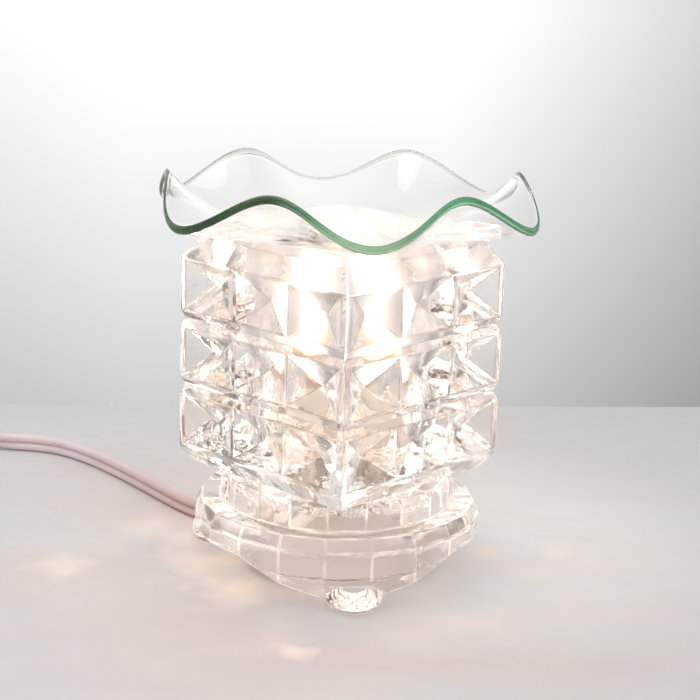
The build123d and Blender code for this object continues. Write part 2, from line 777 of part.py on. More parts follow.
# Tie round the coil
tie_inner_reach = inner_radius - turn_step - cord_width / 2 - tie_clearance
tie_outer_reach = coil_outer_radius + cord_width / 2 + tie_clearance
tie_facing = Vector(1, 0, 0).rotate(Axis.Z, tie_angle)
tie_ceiling = coil_high + cord_thickness / 2 + tie_clearance
tie_plane = Plane(
    origin=coil_centre + tie_facing * ((tie_inner_reach + tie_outer_reach) / 2)
    + up * ((tie_ceiling + coil_lift - tie_clearance) / 2 - coil_low),
    x_dir=tie_facing,
    z_dir=level_side(tie_facing),
)
with BuildPart() as cord_tie:
    with BuildSketch(tie_plane):
        RectangleRounded(
            tie_outer_reach - tie_inner_reach + 2 * tie_thickness,
            tie_ceiling - coil_lift + tie_clearance + 2 * tie_thickness,
            tie_round,
        )
        RectangleRounded(
            tie_outer_reach - tie_inner_reach,
            tie_ceiling - coil_lift + tie_clearance,
            tie_round - tie_thickness,
            mode=Mode.SUBTRACT,
        )
    extrude(amount=tie_width / 2, both=True)
cord_tie.part.label = "cord_tie"
export_step(cord_tie.part, "parts/cord_tie.step")

# Cord switch: two shells, a thumb wheel on a pin, and screws
switch_plane = Plane(
    origin=(switch_start + switch_end) * 0.5 - up * switch_middle,
    x_dir=switch_heading,
    z_dir=up,
)
wheel_bottom = switch_middle - switch_wheel_thickness / 2
wheel_room = switch_wheel_thickness / 2 + switch_wheel_clearance
pin_bottom = switch_wall - switch_pin_hold / 2
pin_height = switch_height - 2 * pin_bottom
wheel_room_radius = switch_wheel_radius + switch_wheel_clearance
with BuildPart() as switch_lower_shell:
    with BuildSketch(switch_plane):
        RectangleRounded(switch_length, switch_width, switch_round)
    extrude(amount=switch_middle)
    chamfer(switch_lower_shell.faces().sort_by(Axis.Z)[0].edges(), switch_wall / 2)
    with BuildSketch(switch_plane.offset(switch_middle - wheel_room)):
        Circle(wheel_room_radius)
    extrude(amount=wheel_room, mode=Mode.SUBTRACT)
    with BuildSketch(switch_plane.offset(pin_bottom)):
        Circle(switch_pin_diameter / 2 + switch_pin_fit)
    extrude(amount=switch_middle, mode=Mode.SUBTRACT)
    with BuildSketch(switch_plane):
        with GridLocations(switch_screw_spacing, 0, 2, 1):
            Circle(switch_screw_diameter / 2 + switch_pin_fit)
    extrude(amount=switch_middle, mode=Mode.SUBTRACT)
    with BuildSketch(switch_plane):
        with GridLocations(switch_screw_spacing, 0, 2, 1):
            Circle(switch_screw_head_diameter / 2 + screw_hole_clearance)
    extrude(amount=switch_screw_head_height + screw_hole_clearance, mode=Mode.SUBTRACT)
switch_lower_shell.part.label = "switch_lower_shell"
export_step(switch_lower_shell.part, "parts/switch_lower_shell.step")

with BuildPart() as switch_upper_shell:
    with BuildSketch(switch_plane.offset(switch_middle)):
        RectangleRounded(switch_length, switch_width, switch_round)
    extrude(amount=switch_middle)
    fillet(switch_upper_shell.faces().sort_by(Axis.Z)[-1].edges(), switch_wall)
    with BuildSketch(switch_plane.offset(switch_middle)):
        Circle(wheel_room_radius)
    extrude(amount=wheel_room, mode=Mode.SUBTRACT)
    with BuildSketch(switch_plane.offset(switch_middle)):
        Circle(switch_pin_diameter / 2 + switch_pin_fit)
    extrude(amount=switch_middle - pin_bottom, mode=Mode.SUBTRACT)
    with BuildSketch(switch_plane.offset(switch_middle)):
        with GridLocations(switch_screw_spacing, 0, 2, 1):
            Circle(switch_screw_diameter / 2 + switch_pin_fit)
    extrude(amount=switch_screw_reach + switch_pin_fit, mode=Mode.SUBTRACT)
switch_upper_shell.part.label = "switch_upper_shell"
export_step(switch_upper_shell.part, "parts/switch_upper_shell.step")

with BuildPart() as switch_wheel:
    with BuildSketch(switch_plane.offset(wheel_bottom)):
        Circle(switch_wheel_radius)
        Circle(switch_pin_diameter / 2 + switch_pin_fit, mode=Mode.SUBTRACT)
        with PolarLocations(switch_wheel_radius, switch_wheel_notches):
            Circle(switch_notch_radius, mode=Mode.SUBTRACT)
    extrude(amount=switch_wheel_thickness)
switch_wheel.part.label = "switch_wheel"
export_step(switch_wheel.part, "parts/switch_wheel.step")

with BuildPart() as switch_pin:
    with BuildSketch(switch_plane.offset(pin_bottom)):
        Circle(switch_pin_diameter / 2)
    extrude(amount=pin_height)
switch_pin.part.label = "switch_pin"
export_step(switch_pin.part, "parts/switch_pin.step")

with BuildPart() as switch_screws:
    with BuildSketch(switch_plane.offset(screw_hole_clearance)):
        with GridLocations(switch_screw_spacing, 0, 2, 1):
            Circle(switch_screw_head_diameter / 2)
    extrude(amount=switch_screw_head_height)
    with BuildSketch(switch_plane.offset(screw_hole_clearance)):
        with GridLocations(switch_screw_spacing, 0, 2, 1):
            Circle(switch_screw_diameter / 2)
    extrude(amount=switch_middle + switch_screw_reach - screw_hole_clearance)
    with BuildSketch(switch_plane.offset(screw_hole_clearance)):
        with GridLocations(switch_screw_spacing, 0, 2, 1):
            Rectangle(switch_screw_head_diameter, screw_slot_width, rotation=25)
    extrude(amount=screw_slot_depth, mode=Mode.SUBTRACT)
switch_screws.part.label = "switch_screws"
export_step(switch_screws.part, "parts/switch_screws.step")

# Plug at the end of the coil, with two flat blades
plug_plane = Plane(origin=coil_end - up * coil_high, x_dir=plug_heading, z_dir=up)
plug_height = 2 * coil_high
with BuildPart() as plug_body:
    with BuildSketch(plug_plane):
        with BuildLine():
            Polyline(
                (0, -plug_tail_width / 2),
                (plug_length / 2, -plug_width / 2),
                (plug_length, -plug_width / 2),
                (plug_length, plug_width / 2),
                (plug_length / 2, plug_width / 2),
                (0, plug_tail_width / 2),
                close=True,
            )
        make_face()
    extrude(amount=plug_height)
    fillet(plug_body.edges().filter_by(Axis.Z), plug_round)
    fillet(plug_body.faces().sort_by(Axis.Z)[-1].edges(), plug_round / 2)
    with BuildSketch(plug_plane.offset(coil_high - blade_width / 2 - blade_fit)):
        with Locations((plug_length - blade_embed / 2, 0)):
            with GridLocations(0, blade_spacing, 1, 2):
                Rectangle(blade_embed, blade_thickness + 2 * blade_fit)
    extrude(amount=blade_width + 2 * blade_fit, mode=Mode.SUBTRACT)
plug_body.part.label = "plug_body"
export_step(plug_body.part, "parts/plug_body.step")

with BuildPart() as plug_blades:
    with BuildSketch(plug_plane.offset(coil_high - blade_width / 2)):
        with Locations((plug_length + (blade_length - blade_embed + blade_fit) / 2, 0)):
            with GridLocations(0, blade_spacing, 1, 2):
                Rectangle(blade_length + blade_embed - blade_fit, blade_thickness)
    extrude(amount=blade_width)
    blade_tips = plug_blades.edges().filter_by(Axis(coil_end, level_side(plug_heading)))
    chamfer(blade_tips.sort_by(Axis(coil_end, plug_heading))[-4:], blade_round)
plug_blades.part.label = "plug_blades"
export_step(plug_blades.part, "parts/plug_blades.step")
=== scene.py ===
import math

import bmesh
import bpy
from bpy.props import FloatProperty, FloatVectorProperty, IntProperty, PointerProperty
from mathutils import Matrix, Vector


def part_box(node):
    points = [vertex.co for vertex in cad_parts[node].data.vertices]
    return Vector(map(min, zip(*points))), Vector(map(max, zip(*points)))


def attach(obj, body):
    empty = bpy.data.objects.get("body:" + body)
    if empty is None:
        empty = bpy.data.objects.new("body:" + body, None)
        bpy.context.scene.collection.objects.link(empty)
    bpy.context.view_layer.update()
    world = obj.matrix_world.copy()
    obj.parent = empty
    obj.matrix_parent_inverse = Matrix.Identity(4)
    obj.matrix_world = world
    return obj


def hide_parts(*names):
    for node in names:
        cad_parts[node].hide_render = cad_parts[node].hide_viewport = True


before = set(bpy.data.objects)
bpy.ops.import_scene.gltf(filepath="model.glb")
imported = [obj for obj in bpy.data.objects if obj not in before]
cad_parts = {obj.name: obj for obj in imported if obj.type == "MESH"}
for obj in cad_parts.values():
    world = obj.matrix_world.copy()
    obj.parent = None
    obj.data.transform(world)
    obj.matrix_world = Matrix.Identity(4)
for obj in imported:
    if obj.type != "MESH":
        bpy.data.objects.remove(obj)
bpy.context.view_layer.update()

bl_info = {
    "name": "Wax Melt Warmer",
    "version": (1, 0, 0),
    "blender": (4, 5, 0),
    "location": "View3D > Sidebar > Warmer",
    "description": "Dresses the glass wax warmer: wavy dish, pitted body, tiered base, lamp and cord",
    "category": "Object",
}

UP = Vector((0, 0, 1))
ROOT = "warmer"
DISH = "dish"
BULB = "bulb"
WHEEL = "thumb_wheel"
GLASS_IOR = 1.5
RIPPLE = 0.16
SILICONE_IOR = 1.41
FILAMENT_TIMES_LAMP = 6
STEPS_PER_NOTCH = 12

# Parts of the pressed glass that have a finish of their own, in metres
BORE_RADIUS = 0.0255
BORE_HEIGHTS = (0.0405, 0.108)
HOLLOW_RADIUS = 0.0318
HOLLOW_HEIGHTS = (0.004, 0.0255)
TIERS_INSIDE = 0.0335
TIERS_TOP = 0.0305
PANEL_COUNT = 20
PANEL_TURN = math.radians(-95.3)
BEAD_HEIGHT = 0.0187
FOOT_COUNT = 3
FOOT_REACH = 0.043
FOOT_TURN = math.radians(-83.3)
FOOT_RADIUS = 0.0098
FOOT_TOP = 0.0095
FOOT_CLEAR = 0.0115
ROUNDING_BOTTOM = 0.0105
NOTCH = Vector((-0.037, 0.0254))
NOTCH_CLEAR = 0.012

# Light and shade that the glass carries
LAMP_IN_GLASS = (1.0, 0.80, 0.66)
LAMP_ON_LINES = (1.0, 0.93, 0.87)
LAMP_ON_HOLDER = (1.0, 0.86, 0.76)
LAMP_ON_COVER = (1.0, 0.84, 0.75)
# Painted brown shade along the ribs of the body
RIB_PAINTED_SHADE = (0.5, 0.36, 0.28)
# Darker glass of the feet: painted shade that dulls the lamp light gathered in them
FOOT_PAINTED_SHADE = (0.80, 0.77, 0.75)

# Tones of the table, the wall and the room
TABLE_TONE = (0.675, 0.667, 0.667)
# Painted warm light of the lamp on the table near the base
TABLE_LAMP_WARMTH = (0.695, 0.585, 0.55)
TABLE_COOL = (0.655, 0.675, 0.675)
# Painted light on the table beside the base
TABLE_PAINTED_LIGHT = (0.92, 0.925, 0.92)
TABLE_FLECK = (0.52, 0.50, 0.52)
# Painted light that the table gives off when seen through glass
TABLE_THROUGH_GLASS = (0.80, 0.73, 0.69)
# Middle of the painted light beside the base
PAINTED_LIGHT_SPOT = (0.05, 0.025, 0)
WALL_TONE = (0.995, 0.998, 1.0)
# Painted warm lamp light on the wall seen through glass, warmer deep in the glass
WALL_THROUGH_GLASS = (1.0, 0.982, 0.965)
WALL_DEEP_IN_GLASS = (1.0, 0.955, 0.915)
ROOM_LOW = (0.42, 0.43, 0.44)
ROOM_HIGH = (0.72, 0.72, 0.72)
FRONT_LOW = (0.60, 0.52, 0.46)
FRONT_HIGH = (1.09, 1.06, 1.02)
ROOM_BEHIND = (1.0, 0.965, 0.93)
ROOM_SIDES = (0.17, 0.11, 0.08)
CAST_TONE = (1.0, 0.86, 0.76)

# Where the warmer throws patches of light on the table: place, reach and weight
CAST_LIGHT = (
    (-0.040, -0.004, 0.022, 1.0),
    (-0.031, -0.028, 0.019, 1.0),
    (-0.088, -0.013, 0.014, 0.5),
    (-0.049, 0.019, 0.018, 0.8),
    (-0.060, 0.026, 0.020, 0.45),
    (0.052, 0.010, 0.009, 0.9),
    (0.075, 0.011, 0.008, 0.5),
    (-0.012, -0.077, 0.007, 0.8),
    (0.036, -0.050, 0.024, 0.45),
    (0.019, -0.063, 0.022, 0.3),
)


# Properties

def length(name, description, default):
    return FloatProperty(
        name=name, description=description, default=default, subtype="DISTANCE", unit="LENGTH"
    )


def angle(name, description, degrees):
    return FloatProperty(name=name, description=description, default=math.radians(degrees), subtype="ANGLE")


def colour(name, description, default):
    return FloatVectorProperty(
        name=name, description=description, default=default, subtype="COLOR", size=3, min=0.0, max=1.0
    )


def amount(name, description, default):
    return FloatProperty(name=name, description=description, default=default, min=0.0)


class WarmerSizes(bpy.types.PropertyGroup):
    dish_radius: length("Dish radius", "Mean radius of the dish rim", 0.060)
    dish_flat_radius: length("Dish flat radius", "Radius of the flat middle of the dish", 0.030)
    dish_thickness: length("Dish thickness", "Thickness of the dish glass", 0.0027)
    dish_rise: length("Dish rise", "How far the rim lies above the flat middle", 0.011)
    wave_count: IntProperty(name="Wave count", description="Waves round the dish rim", default=6)
    wave_spread: length("Wave spread", "How far the low places of the rim reach outwards", 0.0032)
    wave_drop: length("Wave drop", "How far the low places of the rim hang down", 0.0060)
    wave_turn: angle("Wave turn", "Turn of the waves about the upright axis", 6.3)
    glass_edge: length("Pressed edge", "Rounding of the pressed glass edges", 0.0007)
    cord_width: length("Cord width", "Width of the flat twin cord", 0.0064)
    cord_height: length("Cord height", "Thickness of the flat twin cord", 0.0032)
    wheel_notches: IntProperty(name="Wheel notches", description="Notches round the thumb wheel", default=30)
    notch_depth: length("Notch depth", "Depth of the notches in the thumb wheel", 0.0007)


class WarmerColours(bpy.types.PropertyGroup):
    pressed_glass: colour("Pressed glass", "Body glass", (1.0, 0.975, 0.955))
    base_glass: colour("Base glass", "Glass of the tiered base", (0.994, 0.958, 0.932))
    plate_glass: colour("Plate glass", "Dish glass", (0.975, 0.99, 0.985))
    green_edge: colour("Dish edge", "Cut edge of the dish", (0.06, 0.37, 0.15))
    # The edge's darker stretches, lit stretch, streak and borders are painted shade, lamp light and highlight
    green_painted_shade: colour("Dish edge shade", "Darker stretches of the cut edge", (0.025, 0.07, 0.02))
    edge_painted_light: colour("Lit dish edge", "Cut edge of the dish before the lamp", (0.44, 0.68, 0.38))
    edge_painted_highlight: colour("Dish edge streak", "Pale streak along the cut edge", (0.52, 0.82, 0.56))
    edge_painted_shade: colour("Dish edge border", "Dark borders of the cut edge", (0.045, 0.09, 0.035))
    lamp_glow: colour("Lamp glow", "Light of the lamp", (1.0, 0.90, 0.80))
    ceramic: colour("Ceramic", "Lamp socket", (0.84, 0.77, 0.70))
    burnt_ceramic: colour("Burnt ceramic", "Ceramic browned by the lamp", (0.32, 0.19, 0.11))
    vinyl: colour("Cord vinyl", "Cord, switch and plug", (0.82, 0.69, 0.705))
    vinyl_shade: colour("Cord vinyl shade", "Darker patches of the cord", (0.75, 0.62, 0.63))
    # Painted warm light of the lamp on the cord beside the base
    vinyl_lamp_warmth: colour("Cord vinyl near the lamp", "Cord beside the base", (0.66, 0.465, 0.415))


class WarmerStage(bpy.types.PropertyGroup):
    eye: FloatVectorProperty(
        name="Eye",
        description="Place of the camera",
        default=(-0.0162, -0.5638, 0.2155),
        subtype="TRANSLATION",
    )
    heading: angle("Heading", "Turn of the view towards +X", 1.95)
    tilt: angle("Tilt", "How far the view looks down", 14.31)
    roll: angle("Roll", "Turn of the picture about its middle", 1.79)
    lens: FloatProperty(name="Lens", description="Focal length in millimetres", default=92.57)
    wall_distance: length("Wall distance", "How far the wall stands behind the middle of the warmer", 0.183)
    wall_turn: angle("Wall turn", "Turn of the wall about the upright axis", 3.6)
    lamp_strength: amount("Lamp strength", "Emission of the lamp capsule", 24.0)
    softbox_power: FloatProperty(
        name="Softbox power", description="Power of the large softbox above", default=3.8, unit="POWER"
    )


# Node helpers

def fill(node, inputs):
    """Fills a node's inputs with values or with other sockets."""
    for key, value in inputs.items():
        if isinstance(value, bpy.types.NodeSocket):
            node.id_data.links.new(value, node.inputs[key])
        else:
            node.inputs[key].default_value = value


def put(tree, kind, inputs=None, **settings):
    """Adds a node, sets its settings and fills its inputs."""
    node = tree.nodes.new(kind)
    for key, value in settings.items():
        setattr(node, key, value)
    fill(node, inputs or {})
    return node


def calc(operation, first, second=0.0):
    """The result socket of one Math node in the tree of the socket that it works on."""
    tree = (first if isinstance(first, bpy.types.NodeSocket) else second).id_data
    return put(tree, "ShaderNodeMath", {0: first, 1: second}, operation=operation).outputs[0]


def plus(first, second):
    return calc("ADD", first, second)


def minus(first, second):
    return calc("SUBTRACT", first, second)


def times(first, second):
    return calc("MULTIPLY", first, second)


def ranged(value, low, high, to_low, to_high):
    """The value carried from one range to another, held at the ends."""
    inputs = {"Value": value, "From Min": low, "From Max": high, "To Min": to_low, "To Max": to_high}
    return put(value.id_data, "ShaderNodeMapRange", inputs).outputs["Result"]


def rgba(shade):
    return (*shade[:3], 1.0)


def own_place(tree):
    """The piece's own coordinates."""
    return put(tree, "ShaderNodeTexCoord").outputs["Object"]


def sides_of(place):
    """The X, Y and Z of a place."""
    return put(place.id_data, "ShaderNodeSeparateXYZ", {"Vector": place}).outputs


def own_sides(tree):
    """The X, Y and Z of the piece's own coordinates."""
    return sides_of(own_place(tree))


def off(value, middle):
    """How far a value lies from a middle one, on either side."""
    return calc("ABSOLUTE", minus(value, middle))


def distance(place, spot=(0, 0, 0)):
    """How far a place is from a spot."""
    inputs = {0: place, 1: spot}
    return put(place.id_data, "ShaderNodeVectorMath", inputs, operation="DISTANCE").outputs["Value"]


def ray(tree, kind):
    """What a Light Path node says of the ray."""
    return put(tree, "ShaderNodeLightPath").outputs[kind]


def noise(tree, scale, detail=2.0, stretch=(1, 1, 1), distortion=0.0):
    """A noise on the piece's own coordinates. The scale counts patches per metre."""
    place = put(tree, "ShaderNodeMapping", {"Vector": own_place(tree), "Scale": stretch}).outputs["Vector"]
    inputs = {"Vector": place, "Scale": scale, "Detail": detail, "Distortion": distortion}
    return put(tree, "ShaderNodeTexNoise", inputs).outputs["Fac"]


def blend_colours(factor, first, second):
    """A mix of two colours by a factor socket."""
    inputs = {"Factor": factor}
    for socket, shade in ((6, first), (7, second)):
        inputs[socket] = shade if isinstance(shade, bpy.types.NodeSocket) else rgba(shade)
    return put(factor.id_data, "ShaderNodeMix", inputs, data_type="RGBA").outputs[2]


def raise_bumps(shader, height, depth):
    """Gives the shader a bump of that depth in metres."""
    bump = put(shader.id_data, "ShaderNodeBump", {"Height": height, "Strength": 1.0, "Distance": depth})
    fill(shader, {"Normal": bump.outputs["Normal"]})


def mix_shaders(factor, first, second):
    """A mix of two shaders by a factor, shown on the surface."""
    tree = first.id_data
    mix = put(tree, "ShaderNodeMixShader", {0: factor, 1: first.outputs[0], 2: second.outputs[0]})
    fill(tree.nodes["Material Output"], {"Surface": mix.outputs[0]})
    return mix


def paint_over(shader, factor, shade):
    """Lays a shade over the shader's colour by a factor."""
    colour_socket = shader.inputs["Base Color"]
    under = tuple(colour_socket.default_value)
    if colour_socket.is_linked:
        under = colour_socket.links[0].from_socket
    fill(shader, {"Base Color": blend_colours(factor, under, shade)})


def give_light(shader, glow, strength):
    """Lets the shader give off light of one colour, as strong as a socket says."""
    fill(shader, {"Emission Color": rgba(glow), "Emission Strength": strength})


def seen_rays(tree):
    """One for rays that see a thing straight, mirrored or through glass, and zero for the others."""
    straight = calc("MAXIMUM", ray(tree, "Is Camera Ray"), ray(tree, "Is Glossy Ray"))
    return calc("MAXIMUM", straight, ray(tree, "Is Transmission Ray"))


# Materials

def tree_and_shader(material):
    tree = material.node_tree
    return tree, tree.nodes["Principled BSDF"]


def blank_material(name):
    material = bpy.data.materials.new(name)
    material.use_nodes = True
    return (material, *tree_and_shader(material))


def glass(name, tint, waviness, wave_scale, ripple=0.0, shadow=0.96):
    """Clear glass with the gentle unevenness of pressed or slumped glass and a share of finer ripples.

    Shadow rays pass through it with a slight loss at each wall.
    """
    material, tree, shader = blank_material(name)
    smear = ranged(noise(tree, 90.0, 3.0), 0.45, 0.8, 0.0, 0.035)
    looks = {"Base Color": rgba(tint), "Transmission Weight": 1.0, "IOR": GLASS_IOR, "Roughness": smear}
    fill(shader, looks)
    waves = noise(tree, wave_scale, 3.0, distortion=0.6)
    if ripple > 0:
        fine = times(noise(tree, 4.3 * wave_scale, 2.0, distortion=1.0), ripple)
        waves = plus(waves, fine)
    raise_bumps(shader, waves, waviness)
    clear = put(tree, "ShaderNodeBsdfTransparent", {"Color": (shadow, shadow, shadow, 1.0)})
    mix_shaders(ray(tree, "Is Shadow Ray"), shader, clear)
    return material


def crease(material, count, turn, depth, bead_height, bead_rise):
    """Marks the glass with even upright creases about the axis and a level bead, besides its unevenness."""
    tree, shader = tree_and_shader(material)
    sides = own_sides(tree)
    turned = minus(calc("ARCTAN2", sides["Y"], sides["X"]), turn)
    swell = calc("ABSOLUTE", calc("SINE", times(turned, count / 2)))
    swell = times(calc("POWER", swell, 0.35), depth)
    bead = ranged(off(sides["Z"], bead_height), 0.0, 0.0009, bead_rise, 0.0)
    uneven = shader.inputs["Normal"].links[0].from_socket
    inputs = {"Height": plus(swell, bead), "Strength": 1.0, "Distance": 1.0, "Normal": uneven}
    fill(shader, {"Normal": put(tree, "ShaderNodeBump", inputs).outputs["Normal"]})


def change_glass(piece, material, chosen):
    """Gives the faces with a chosen centre a glass of their own."""
    piece.data.materials.append(material)
    for face in piece.data.polygons:
        if chosen(face.center):
            face.material_index = len(piece.data.materials) - 1


def dull_by_height(material, low, high, to_low, to_high):
    """Lets the roughness of the glass change with the height."""
    tree, shader = tree_and_shader(material)
    fill(shader, {"Roughness": ranged(own_sides(tree)["Z"], low, high, to_low, to_high)})


def paint_rib_shade(material, shade, least, most):
    """Darkens the glass in patches with painted brown shade, in place of the dark lines that light bent at
    the edges of pressed glass draws.
    """
    tree, shader = tree_and_shader(material)
    paint_over(shader, ranged(noise(tree, 150.0, 3.0), 0.4, 0.62, least, most), shade)
    return material


def light_edges(material, glow, least, most):
    """Lets the rounded edges of the glass give off the lamp's light, more in some places than in others."""
    tree, shader = tree_and_shader(material)
    give_light(shader, glow, ranged(noise(tree, 130.0, 3.0), 0.4, 0.62, least, most))
    return material


def add_lamp_light(material, strength):
    """Lets the glass carry the lamp's light where it goes round many times inside."""
    tree, shader = tree_and_shader(material)
    give_light(shader, LAMP_IN_GLASS, ranged(ray(tree, "Ray Depth"), 7.0, 22.0, 0.0, strength))
    return material


def green_edge(colours):
    """The cut edge of the dish, which gathers the green of the glass, with painted shade towards -X and along
    its borders, painted lamp light before the lamp and a painted highlight streak.
    """
    material, tree, shader = blank_material("dish_green_edge")
    across = own_sides(tree)["X"]
    # Painted shade towards -X, in uneven patches
    patch = ranged(noise(tree, 38.0, 2.0), 0.3, 0.7, -0.25, 0.25)
    sweep = plus(ranged(across, -0.024, -0.001, 0.0, 1.0), patch)
    greener = ranged(sweep, 0.0, 1.0, 0.0, 1.0)
    shade = blend_colours(greener, colours.green_painted_shade, colours.green_edge)
    # Painted lamp light on the stretch before the lamp
    before_lamp = ranged(off(across, 0.006), 0.004, 0.018, 0.55, 0.0)
    shade = blend_colours(before_lamp, shade, colours.edge_painted_light)
    profile = put(tree, "ShaderNodeAttribute", attribute_name="profile").outputs["Fac"]
    # Painted highlight streak along the edge
    streak = ranged(off(profile, 0.487), 0.002, 0.010, 0.75, 0.0)
    shade = blend_colours(times(streak, sweep), shade, colours.edge_painted_highlight)
    # Painted shade along the edge's borders
    border = ranged(off(profile, 0.5), 0.022, 0.044, 0.0, 0.8)
    shade = blend_colours(border, shade, colours.edge_painted_shade)
    inside = put(tree, "ShaderNodeNewGeometry").outputs["Backfacing"]
    looks = {
        "Base Color": blend_colours(inside, shade, colours.plate_glass),
        "Transmission Weight": ranged(inside, 0.0, 1.0, 0.32, 1.0),
        "IOR": GLASS_IOR,
        "Roughness": 0.1,
    }
    fill(shader, looks)
    raise_bumps(shader, noise(tree, 120.0, 2.0), 0.00003)
    return material


def solid(name, shades, patch_scale, roughness, grain_scale, grain_depth, metallic=0.0, stretch=(1, 1, 1)):
    """An opaque finish: two shades in soft patches, uneven gloss and a fine grain."""
    material, tree, shader = blank_material(name)
    patches = ranged(noise(tree, patch_scale, 4.0), 0.35, 0.65, 0.0, 1.0)
    gloss = noise(tree, patch_scale * 3.1, 3.0, stretch)
    looks = {
        "Base Color": blend_colours(patches, *shades),
        "Roughness": ranged(gloss, 0.3, 0.7, *roughness),
        "Metallic": metallic,
    }
    fill(shader, looks)
    raise_bumps(shader, noise(tree, grain_scale, 3.0, stretch), grain_depth)
    return material


def lit_through_glass(material, glow, strength, dim=0.0):
    """Adds the light that an inner piece gets through the glass, in place of a share of its own colour."""
    tree, shader = tree_and_shader(material)
    through = ray(tree, "Is Transmission Ray")
    if dim > 0:
        paint_over(shader, times(through, dim), (0, 0, 0))
    give_light(shader, glow, times(through, strength))
    return material


def ceramic(colours):
    """Pale ceramic that the lamp's heat has browned at the top."""
    pale = Vector(colours.ceramic)
    material = solid("socket_ceramic", (pale, pale * 0.88), 120.0, (0.45, 0.6), 1500.0, 0.00006)
    tree, shader = tree_and_shader(material)
    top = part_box("lamp_socket")[1].z
    uneven = ranged(noise(tree, 220.0, 3.0), 0.3, 0.7, -0.0012, 0.0012)
    height = plus(own_sides(tree)["Z"], uneven)
    burnt = ranged(height, top - 0.0045, top - 0.001, 0.0, 1.0)
    paint_over(shader, burnt, colours.burnt_ceramic)
    return material


# Plain finishes: two shades, patch scale, roughness, grain scale, grain depth, metal and stretch
PLAIN_FINISHES = {
    "zinc_steel": ((0.62, 0.62, 0.61), (0.5, 0.5, 0.5), 260, (0.24, 0.42), 2200, 0.00003, 1, (1, 1, 6)),
    "contact_brass": ((0.83, 0.63, 0.30), (0.66, 0.46, 0.20), 300, (0.22, 0.4), 2600, 0.00002, 1),
    "nickel_wire": ((0.72, 0.70, 0.66), (0.60, 0.58, 0.54), 400, (0.18, 0.32), 3000, 0.00001, 1),
    "grey_rubber": ((0.62, 0.59, 0.56), (0.54, 0.51, 0.48), 200, (0.65, 0.85), 1800, 0.00008),
    "cover_fibre": ((0.80, 0.78, 0.75), (0.72, 0.70, 0.66), 500, (0.85, 0.97), 1400, 0.00025),
    "tie_plastic": ((0.82, 0.82, 0.80), (0.74, 0.74, 0.72), 180, (0.35, 0.5), 1600, 0.00005),
}


def plain(name):
    """One of the plain finishes."""
    first, second, *rest = PLAIN_FINISHES[name]
    return solid(name, (first, second), *rest)


def vinyl(colours):
    """Soft cord vinyl: uneven gloss, a faint drawn grain and painted warm lamp light near the base."""
    shades = (colours.vinyl, colours.vinyl_shade)
    material = solid("cord_vinyl", shades, 55.0, (0.38, 0.55), 900.0, 0.00007)
    tree, shader = tree_and_shader(material)
    fill(shader, {"Subsurface Weight": 0.08, "Subsurface Radius": (0.002, 0.001, 0.001)})
    # Painted warm light of the lamp, strongest near the base
    near = ranged(distance(own_place(tree)), 0.06, 0.14, 0.9, 0.0)
    paint_over(shader, near, colours.vinyl_lamp_warmth)
    return material


def moulded_plastic(colours):
    """The harder plastic of the switch and the plug, with a fine moulded texture."""
    shades = (colours.vinyl, Vector(colours.vinyl) * 0.93)
    return solid("moulded_plastic", shades, 90.0, (0.42, 0.58), 1700.0, 0.00009)


def wheel_plastic(colours):
    shades = (Vector(colours.vinyl) * 0.72, Vector(colours.vinyl) * 0.62)
    return solid("wheel_plastic", shades, 120.0, (0.4, 0.55), 1500.0, 0.00006)


def silicone():
    material = glass("clear_silicone", (0.98, 0.98, 0.97), 0.00004, 300.0, shadow=0.97)
    fill(tree_and_shader(material)[1], {"IOR": SILICONE_IOR})
    return material


def quartz(colours, strength):
    """The lit capsule: quartz that glows warm white, strongest about its middle."""
    material, tree, shader = blank_material("quartz_glow")
    low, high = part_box("bulb_envelope")
    lit = ranged(own_sides(tree)["Z"], low.z, low.z + 0.4 * (high.z - low.z), 0.1, 1.0)
    looks = {
        "Emission Color": blend_colours(lit, (1.0, 0.62, 0.34), colours.lamp_glow),
        "Emission Strength": times(lit, strength),
        "Base Color": rgba((0.97, 0.96, 0.94)),
        "Transmission Weight": 0.85,
        "Roughness": ranged(noise(tree, 260.0, 3.0), 0.3, 0.7, 0.06, 0.2),
    }
    fill(shader, looks)
    raise_bumps(shader, noise(tree, 420.0, 2.0), 0.00003)
    return material


def tungsten(colours, strength):
    material, tree, shader = blank_material("tungsten_filament")
    fill(shader, {"Base Color": rgba((0.3, 0.29, 0.28)), "Metallic": 1.0})
    uneven = ranged(noise(tree, 900.0, 2.0), 0.3, 0.7, 0.8 * strength, strength)
    give_light(shader, colours.lamp_glow, uneven)
    raise_bumps(shader, noise(tree, 3000.0, 2.0), 0.00002)
    return material


# Mesh helpers

def link(name, data):
    piece = bpy.data.objects.new(name, data)
    bpy.context.scene.collection.objects.link(piece)
    return piece


def keep_shape(name, shape):
    """A new piece of an edited shape, which is freed."""
    mesh = bpy.data.meshes.new(name)
    shape.to_mesh(mesh)
    shape.free()
    return link(name, mesh)


def settle(piece):
    """Makes the evaluated shape of a piece its own plain mesh and takes its modifiers away."""
    evaluated = piece.evaluated_get(bpy.context.evaluated_depsgraph_get())
    plain = bpy.data.meshes.new_from_object(evaluated)
    plain.name = piece.name
    piece.modifiers.clear()
    piece.data = plain
    return piece


def smooth(piece):
    piece.data.polygons.foreach_set("use_smooth", [True] * len(piece.data.polygons))
    piece.data.update()
    return piece


